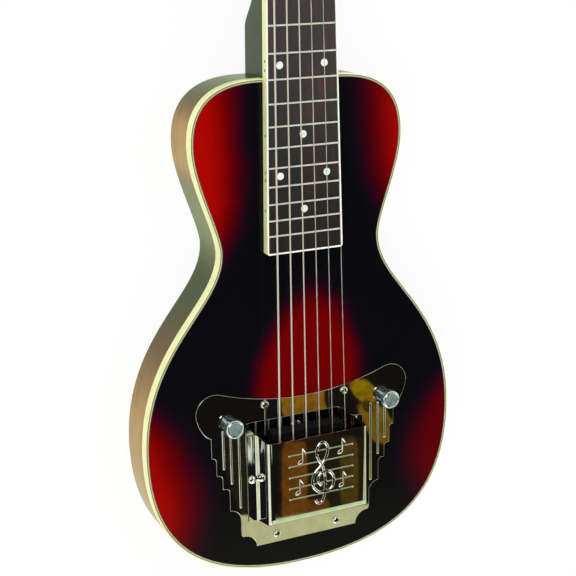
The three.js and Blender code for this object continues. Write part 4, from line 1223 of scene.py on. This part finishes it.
def makeCover():
    s = coverSize
    foot = plateSize.thick + s.sheet
    top = plateSize.thick + s.height
    hood = addBox("pickup_hood", (-s.half, s.half), (s.tail, s.head), (foot, top))
    openMesh(hood)
    pick("FACE", lambda at, way: way.z < -0.9 or way.y > 0.9)
    bpy.ops.mesh.delete(type="FACE")
    pick("VERT", lambda at, way: at.z > top - hair and at.y < s.tail + 1)
    moved(y=s.lean)
    bevelEdges(lambda at, way: at.z > top - hair and at.y < s.head - 1, s.bend, 8)
    for side in (-1, 1):
        pick("EDGE", lambda at, way: at.z < foot + hair and at.x * side > s.half - hair)
        drawEdges(x=side * s.flange)
        bevelEdges(lambda at, way: at.z < foot + hair and abs(at.x * side - s.half) < hair
                   and abs(way.y) > 0.9, s.footBend, 3)
    pick("EDGE", lambda at, way: at.z < foot + hair and abs(at.x) < s.half - 1 and at.y < s.tail + 1)
    drawEdges(z=s.tailGap - s.sheet)
    faceOut()
    putDown()
    highest = max(hood.data.polygons, key=lambda p: p.center.z)
    openMesh(hood)
    if highest.normal.z < 0:
        bpy.ops.mesh.flip_normals()
    # edge loops beside the bends keep the flat faces flat
    flat = s.bend + s.rim
    for place, way in (((s.half - flat, 0), (1, 0, 0)), ((flat - s.half, 0), (1, 0, 0)),
                       ((0, s.tail + s.lean + flat), (0, 1, 0))):
        pickAll()
        bpy.ops.mesh.bisect(plane_co=spot(*place, top), plane_no=way)
    putDown()
    applied(hood, "SOLIDIFY", thickness=s.sheet * mm, offset=-1, use_even_offset=True)
    roundEdges(hood, s.rim, 2, 60)
    smoothed(cut(hood, screwHoles(screwSpots()[4:], foot)), 30)
    fitted(hood, chrome, "pickup_cover")


# Raised staff on the cover: lines, a clef and four short notes
staffSize = Sizes(
    lines=[24.6, 16.2, 7.8, -0.5, -8.9], left=-23.6, right=26.5, wire=0.4,
    clefWire=1.1, clefPlace=(3.6, 0),
    clef=[(-7.1, -13), (-5.6, -15.6), (-3.2, -16.2), (-0.8, -13), (0.3, -8), (1, -0.7),
             (0.2, 6), (-1.4, 12.6), (-4.2, 17.4), (-5.5, 21.7), (-4.3, 28.2), (-0.8, 30.4),
             (2.6, 27.4), (2.9, 22.4), (0.6, 16.8), (-3.2, 12), (-7.3, 7.6), (-9.2, 1.3),
             (-7.3, -4.6), (-1.4, -8), (5, -6.6), (7.7, -0.9), (5.7, 5.6), (1, 7.8),
             (-3.8, 5.4), (-4.7, 1), (-2.2, -2.6)],
    notes=[(-14.9, 18.4), (16.6, 20.3), (-17.3, -4.8), (17.2, -5.6)],
    headLong=2.2, headWide=1.6, headRise=0.7, headTurn=0.5, stem=10.4, stemWire=0.46,
    flag=[(0, 0), (1.2, 2), (2.2, 3.6), (1.6, 6.4)], endShare=1.6, clefSink=0.4,
)


def makeStaff():
    s = staffSize
    top = plateSize.thick + coverSize.height
    middle = (s.left + s.right) / 2
    for i, y in enumerate(s.lines):
        name = "staff_line_%d" % (i + 1)
        line = addTube(name, [spot(x, y, top) for x in (s.left, middle, s.right)], s.wire, 2)
        for x in (s.left, s.right):
            line = joined([line, addBall("end", spot(x, y, top), s.wire * s.endShare, 12, 8)], name)
        fitted(smoothed(line), chrome)
    cx, cy = s.clefPlace
    points = [spot(cx + x, cy + y, top - s.clefSink) for x, y in s.clef]
    fitted(smoothed(addTube("raised_clef", points, s.clefWire, 3)), chrome)
    for i, (x, y) in enumerate(s.notes):
        size = (s.headLong, s.headWide, s.headRise)
        head = addBall("head", spot(x, y, top), 1, 20, 10, (0, 0, s.headTurn), size)
        stemX, stemEnd = x + s.headLong * 0.8, y + s.stem
        stem = [spot(stemX, place, top) for place in (y, y + s.stem / 2, stemEnd)]
        flag = [spot(stemX + out, stemEnd - down, top) for out, down in s.flag]
        strokes = [addTube("stroke", points, s.stemWire, 2) for points in (stem, flag)]
        fitted(smoothed(joined([head] + strokes, "raised_note_%d" % (i + 1))), chrome)


# Knobs and pots
def makeKnobs():
    s = knobSize
    r, neck, h = s.radius, s.neck, s.height
    profile = [(s.bore, 0), (neck - 0.4, 0), (neck - 0.1, 0.12), (neck, 0.5), (neck, 8.6),
               (neck + 0.15, 9.6), (neck + 0.7, 10.5), (r - 0.3, 11.3), (r, 11.8), (r, h - 1.8),
               (r - 0.1, h - 1.15), (r - 0.4, h - 0.6), (r - 0.85, h - 0.18), (r - 1.2, h),
               (r - 1.35, h - 0.06), (r - 1.55, h - 0.4), (r - 1.75, h - 0.85), (r - 2, h - 0.95),
               (0, h - 1), (0, s.boreDepth), (s.bore, s.boreDepth), (s.bore, 0)]
    for side, name in ((-1, "volume"), (1, "tone")):
        foot = spot(side * s.spread, s.place, plateSize.thick + s.lift)
        knob = addTurned(name + "_knob_metal", profile, foot, steps=64)
        smoothed(knob, 30)
        fitted(knob, knobMetal, name + "_knob", name + "_control")
        knob.visible_glossy = False  # the plate shows the room behind them


# Jack in the tail
def makeJack():
    s = jackSize
    seat = spot(0, bodySize.tail + s.seatDepth, s.height)
    r, thick, hole = s.plateRadius, s.plateThick, s.barrelRadius + 0.2
    rim = [(hole, hair), (r, hair), (r, thick * 0.5), (r - 0.8, thick), (hole, thick), (hole, hair)]
    plate = addTurned("round_jack_plate", rim, seat, alongY, 64)
    fitted(smoothed(plate), chrome, "jack_plate")
    mouth = thick + s.stickOut
    inner, outer, can = s.socketRadius, s.barrelRadius, s.canRadius
    deep = mouth - s.socketDepth
    pitch = (s.stickOut - 0.4) / s.threads
    profile = [(inner, mouth - 0.3), (inner + 0.3, mouth), (outer - 0.5, mouth)]
    for i in range(s.threads):
        high = mouth - 0.2 - i * pitch
        profile += [(outer, high - pitch * 0.4), (outer - 0.35, high - pitch * 0.9)]
    profile += [(outer, thick), (outer, -0.3), (can, -0.3), (can, -s.canLength),
                (inner + s.endWall, deep - s.endWall), (0, deep - s.endWall), (0, deep), (inner, deep),
                (inner, mouth - 0.3)]
    barrel = addTurned("jack_barrel", profile, seat, alongY, 40)
    fitted(smoothed(barrel), nickel, "output_jack")
    middle = seat - Vector((0, (thick + s.nutThick / 2) * mm, 0))
    nut = addRod("hex_jack_nut", middle, s.nutRadius, s.nutThick - 2 * hair, alongY, 6)
    bevelled(nut, lambda at, way: abs(way.y) < 0.1, s.nutEdge, 2)
    cut(nut, [addRod("hole", middle, outer + s.nutGap, 4 * s.nutThick, alongY, 40)])
    fitted(smoothed(nut), nickel, "jack_nut")


# Tuners
def makeTuners():
    t, h = tunerSize, headSize
    low, high = fromBridge("tuner_worm_1")
    wormHeight = (low.z + high.z) / 2
    r, hole = t.ferruleRadius, t.ferruleHole
    ring = [(hole, 0), (r, 0), (r, 0.3), (r - 0.5, t.ferruleRise), (hole + 0.25, t.ferruleRise),
            (hole, 0.9), (hole, 0)]
    for i, (x, y, side) in enumerate(tunerSpots()):
        number = str(i + 1)
        makePost(number, x, y, wormHeight)
        makeWorm(number, x, y, side, wormHeight)
        makeButton(number, y, side, wormHeight)
        ferrule = addTurned("post_bushing_" + number, ring, spot(x, y, hair - h.drop), steps=36)
        fitted(smoothed(ferrule), nickel)
    for name in ("bass", "treble"):
        makeTunerPlate(name)


def makePost(number, x, y, gearHeight):
    # a waisted post on a toothed wheel
    t = tunerSize
    r = t.postRadius
    waist, end = t.hole - headSize.drop, t.postRise - headSize.drop
    low = gearHeight - t.gearThick / 2
    profile = [(0, low - 1.1), (1.8, low - 1.1), (2.4, low - 0.7), (2.4, low + 0.5), (r, low + 0.5),
               (r, waist - 3), (r * 0.88, waist - 1.4), (r * 0.84, waist), (r * 0.88, waist + 1.4),
               (r, waist + 3), (r, end - 0.7), (r * 0.92, end - 0.25), (r * 0.75, end), (0, end)]
    post = addTurned("string_post_" + number, profile, spot(x, y, 0), steps=32)
    cut(post, [addRod("hole", spot(x, y, waist), t.stringHole, 2 * overrun, alongY, 16)])
    gear = addRod("gear", spot(x, y, gearHeight), t.rootRadius, t.gearThick, sides=t.teeth * 2)
    openMesh(gear)
    tooth = 2 * math.pi / t.teeth
    pick("FACE", lambda at, way: abs(way.z) < 0.1 and math.atan2(at.y - y, at.x - x) % tooth < tooth / 2)
    outwards = {"value": (t.rootRadius - t.gearRadius) * mm}
    bpy.ops.mesh.extrude_region_shrink_fatten(TRANSFORM_OT_shrink_fatten=outwards)
    putDown()
    smoothed(cut(post, [gear], "UNION"))
    fitted(post, nickel, "tuner_post_" + number, "post_" + number)


def makeWorm(number, x, y, side, height):
    # a shaft with rings for its thread, long enough to hold the button
    t = tunerSize
    half = t.gearRadius - t.wormShort
    r, tail = t.shaftRadius, -half - t.wormTail
    profile = [(0, tail), (r - 0.3, tail), (r, tail + 0.3), (r, -half)]
    pitch = 2 * half / t.wormTurns
    for i in range(t.wormTurns):
        start = -half + i * pitch
        profile += [(t.wormRoot, start), (t.wormRadius, start + pitch * 0.35),
                    (t.wormRadius, start + pitch * 0.65)]
    reach = t.buttonStart - t.spread + t.buttonLength / 2
    profile += [(t.wormRoot, half), (r, half), (r, reach), (0, reach)]
    foot = spot(x, y + t.offset, height)
    worm = addTurned("worm_shaft_" + number, profile, foot, (0, side * math.pi / 2, 0), 28)
    fitted(smoothed(worm), steel, "tuner_worm_" + number, "worm_" + number)


def makeButton(number, y, side, height):
    # a turned swell flattened into an oval button with a round collar
    t = tunerSize
    r, length, bore = t.buttonRadius, t.buttonLength, t.shaftRadius + 0.05
    profile = [(bore, 0), (2.6, 0), (2.9, 0.4), (2.9, 2.2), (3.6, 3.4), (r * 0.86, 5), (r, 7.4),
               (r * 0.98, 9.8), (r * 0.84, 12.2), (r * 0.55, 14.2), (r * 0.25, length - 0.1),
               (0, length), (0, length / 2 + 0.4), (bore, length / 2 + 0.4), (bore, 0)]
    foot = spot(side * t.buttonStart, y + t.offset, height)
    button = addTurned("oval_button_" + number, profile, foot, (0, side * math.pi / 2, 0), 48)
    openMesh(button)
    pick("VERT", lambda at, way: abs(at.x) > t.buttonStart + t.collar)
    resized(foot, z=t.buttonShare)
    putDown()
    fitted(smoothed(button), buttonPlastic, "tuner_button_" + number, "worm_" + number)


def makeTunerPlate(name):
    # the strip and its ears keep the frame's shape, with eased edges
    takeUp(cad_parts["tuner_plate_" + name])
    bpy.ops.object.duplicate(linked=False)
    plate = bpy.context.object
    plate.parent = None
    plate.name = "tuner_strip_" + name
    openMesh(plate)
    merged()
    bpy.ops.mesh.dissolve_limited(angle_limit=math.radians(1))
    putDown()
    roundEdges(plate, 0.25, 2, 40)
    fitted(plate, nickel, "tuner_plate_" + name)


# What stays as the frame has it, hidden or nearly so, gets its own finish
innerFinish = {
    "pickup_bobbin": fibre, "pickup_coil": copper, "pickup_blade": steel,
    "pickup_magnet_tail": magnetIron, "pickup_magnet_neck": magnetIron, "bridge": nickel,
    "string_anchor": nickel, "volume_pot": steel, "tone_pot": steel, "volume_pot_shaft": brass,
    "tone_pot_shaft": brass, "volume_pot_nut": nickel, "tone_pot_nut": nickel,
    "tone_capacitor": film,
}


def dressInnerParts():
    for name, finish in innerFinish.items():
        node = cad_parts[name]
        node.data.materials.clear()
        node.data.materials.append(finish)
        if name.endswith(("shaft", "pot_nut")):
            node.visible_glossy = False  # as the knobs over them


makeBody()
makeTrim()
print("body made")
makeNeck()
makeBoard()
makeDots()
makeNut()
print("neck made")
makeStrings()
makePlate()
makeScrews()
makeCover()
makeStaff()
print("plate and cover made")
makeKnobs()
makeJack()
makeTuners()
dressInnerParts()
print("all pieces made")


# Camera, as the photograph was taken
cameraSize = Sizes(
    lens=77.2, sensor=36, spot=(-0.3562, 0.05375, 0.79469), turn=(-15.2538, -24.8687, -1.2288),
)


def makeCamera():
    c = cameraSize
    putDown()
    bpy.ops.object.camera_add(location=c.spot, rotation=[math.radians(angle) for angle in c.turn])
    camera = bpy.context.object
    camera.data.lens = c.lens
    camera.data.sensor_width = c.sensor
    bpy.context.scene.camera = camera


# Studio. What the metal shows, by direction: pale low down, dark overhead, a pale wall behind
# the tail and patches: (middle, reach, squareness, lean, colour)
roomSize = Sizes(
    dark=paint(20, 18, 17), horizon=(0.4, 0.56), low=paint(244, 247, 224),
    pale=paint(188, 186, 140), paleEdge=-0.4948, paleSlope=0.142, soft=0.0006,
    shelf=(0.341, 0.006, -0.4405),
    bright=paint(192, 214, 164), brightEdge=-0.53, brightSide=(0.3, 0.34, 0.47, 0.51),
    beyond=paint(226, 230, 216), ground=paint(226, 240, 206),
    flashes=[((-0.45, 0.4), 0.26), ((-0.2, -0.88), 0.22)],
    patches=[
        ((0.342, -0.405), (0.01, 0.034), 4, 0, paint(38, 31, 22)),
        ((0.397, -0.352), (0.0165, 0.022), 8, 0, paint(134, 94, 16)),
        ((0.4001, -0.413), (0.031, 0.031), 8, 0.2, paint(38, 29, 16)),
        ((0.4198, -0.4115), (0.0066, 0.028), 4, 0.2, paint(76, 60, 20)),
        ((0.3796, -0.4163), (0.0092, 0.0305), 6, 0.2, paint(110, 65, 18)),
        ((0.3915, -0.436), (0.0095, 0.006), 4, 0.2, paint(98, 58, 16)),
        ((0.4486, -0.3755), (0.0108, 0.0155), 3, -0.3, paint(118, 90, 18)),
        ((0.4422, -0.3508), (0.0088, 0.0092), 2.3, -0.2, paint(140, 112, 8)),
        ((0.4432, -0.3625), (0.0036, 0.005), 2, 0, paint(34, 24, 12)),
        ((-0.35, -0.42), (0.13, 0.04), 8, 0, paint(22, 23, 31)),
        ((-0.29, -0.389), (0.07, 0.013), 1.4, 0, paint(236, 242, 226)),
        ((-0.28, -0.386), (0.03, 0.0055), 2, 0, paint(120, 96, 44)),
        ((-0.425, -0.383), (0.022, 0.012), 2, 0, paint(206, 214, 206)),
    ],
)


def makeFloor():
    putDown()
    bpy.ops.mesh.primitive_plane_add(size=12, location=(0, 0, 0))
    floor = settled("floor")
    material = bpy.data.materials.new("white_floor")
    material.use_nodes = True
    sheet = Sheet(material.node_tree)
    white = sheet.node("ShaderNodeBsdfDiffuse", None, {"Color": (0.92, 0.92, 0.92, 1)})
    seen = sheet.seenBy("Camera")
    shown = seen.larger(sheet.seenBy("Glossy")).larger(sheet.seenBy("Transmission"))
    tint = sheet.blend(seen, roomSize.ground, (1, 1, 1, 1))
    glow = sheet.node("ShaderNodeEmission", None, {"Color": tint, "Strength": 1})
    mixed = sheet.node("ShaderNodeMixShader", None, {0: shown * 0.9, 1: white, 2: glow})
    sheet.node("ShaderNodeOutputMaterial", None, {"Surface": mixed})
    floor.data.materials.append(material)


def makeRoom():
    world = bpy.data.worlds.new("room")
    world.use_nodes = True
    bpy.context.scene.world = world
    r = roomSize
    sheet = Sheet(world.node_tree)
    way = sheet.node("ShaderNodeTexCoord", None, None, "Generated")
    x, y, z = sheet.parts(way)
    broad = sheet.noise(way, 60, 3) - 0.5
    fine = sheet.noise(way, 160, 3)
    colour = sheet.blend(z.step(*r.horizon), r.low, r.dark)
    for middle, reach, square, lean, shade in r.patches:
        ragged = broad * reach[0] * 0.4
        up = y + broad * 0.006 - middle[1]
        across = x + ragged - middle[0] - up * lean
        far = abs(across / reach[0]) ** square + abs(up / reach[1]) ** square
        inside = (1 - far.step(0.7, 1.3)) * (0.6 + fine.step(0.35, 0.6) * 0.4)
        colour = sheet.blend(inside, colour, shade)
    middle, reach, level = r.shelf
    shelf = level - (abs(x - middle) - reach).larger(0)
    edge = y - (x * r.paleSlope + r.paleEdge).larger(shelf)
    start, full, fade, end = r.brightSide
    bright = sheet.blend(x.step(start, full) * (1 - x.step(fade, end)), r.beyond, r.bright)
    behind = sheet.blend((y - r.brightEdge).step(-0.02, 0.02), bright, r.pale)
    colour = sheet.blend(1 - edge.step(-r.soft, r.soft), colour, behind)
    for middle, reach in r.flashes:
        flash = ((x - middle[0]) ** 2 + (y - middle[1]) ** 2) ** 0.5
        colour = sheet.blend(1 - flash.step(reach * 0.8, reach), colour, (2, 2, 2, 1))
    colour = sheet.blend(sheet.seenBy("Camera"), colour, (1, 1, 1, 1))
    lit = sheet.node("ShaderNodeBackground", None, {"Color": colour, "Strength": 1})
    sheet.node("ShaderNodeOutputWorld", None, {"Surface": lit})


# Lamps: (name, place in metres, side of the square, watts, seen in metal)
lampSize = [
    ("key", (-1.2, -0.5, 1.6), 1.2, 22, False),
    ("fill", (1.3, 0.3, 1.5), 1.4, 13, False),
    ("head", (-0.2, 1.5, 1.4), 1.2, 10, False),
    ("tail", (0.1, -1.6, 1.2), 1.2, 5, False),
]


def makeLamps():
    for name, place, side, watts, seen in lampSize:
        putDown()
        aim = (-Vector(place)).to_track_quat("-Z", "Y").to_euler()
        bpy.ops.object.light_add(type="AREA", location=place, rotation=aim)
        lamp = bpy.context.object
        lamp.name = name + "_lamp"
        lamp.data.size = side
        lamp.data.energy = watts
        lamp.visible_glossy = seen


makeCamera()
makeFloor()
makeRoom()
makeLamps()
bpy.context.scene.view_settings.view_transform = "Standard"
print("studio made")
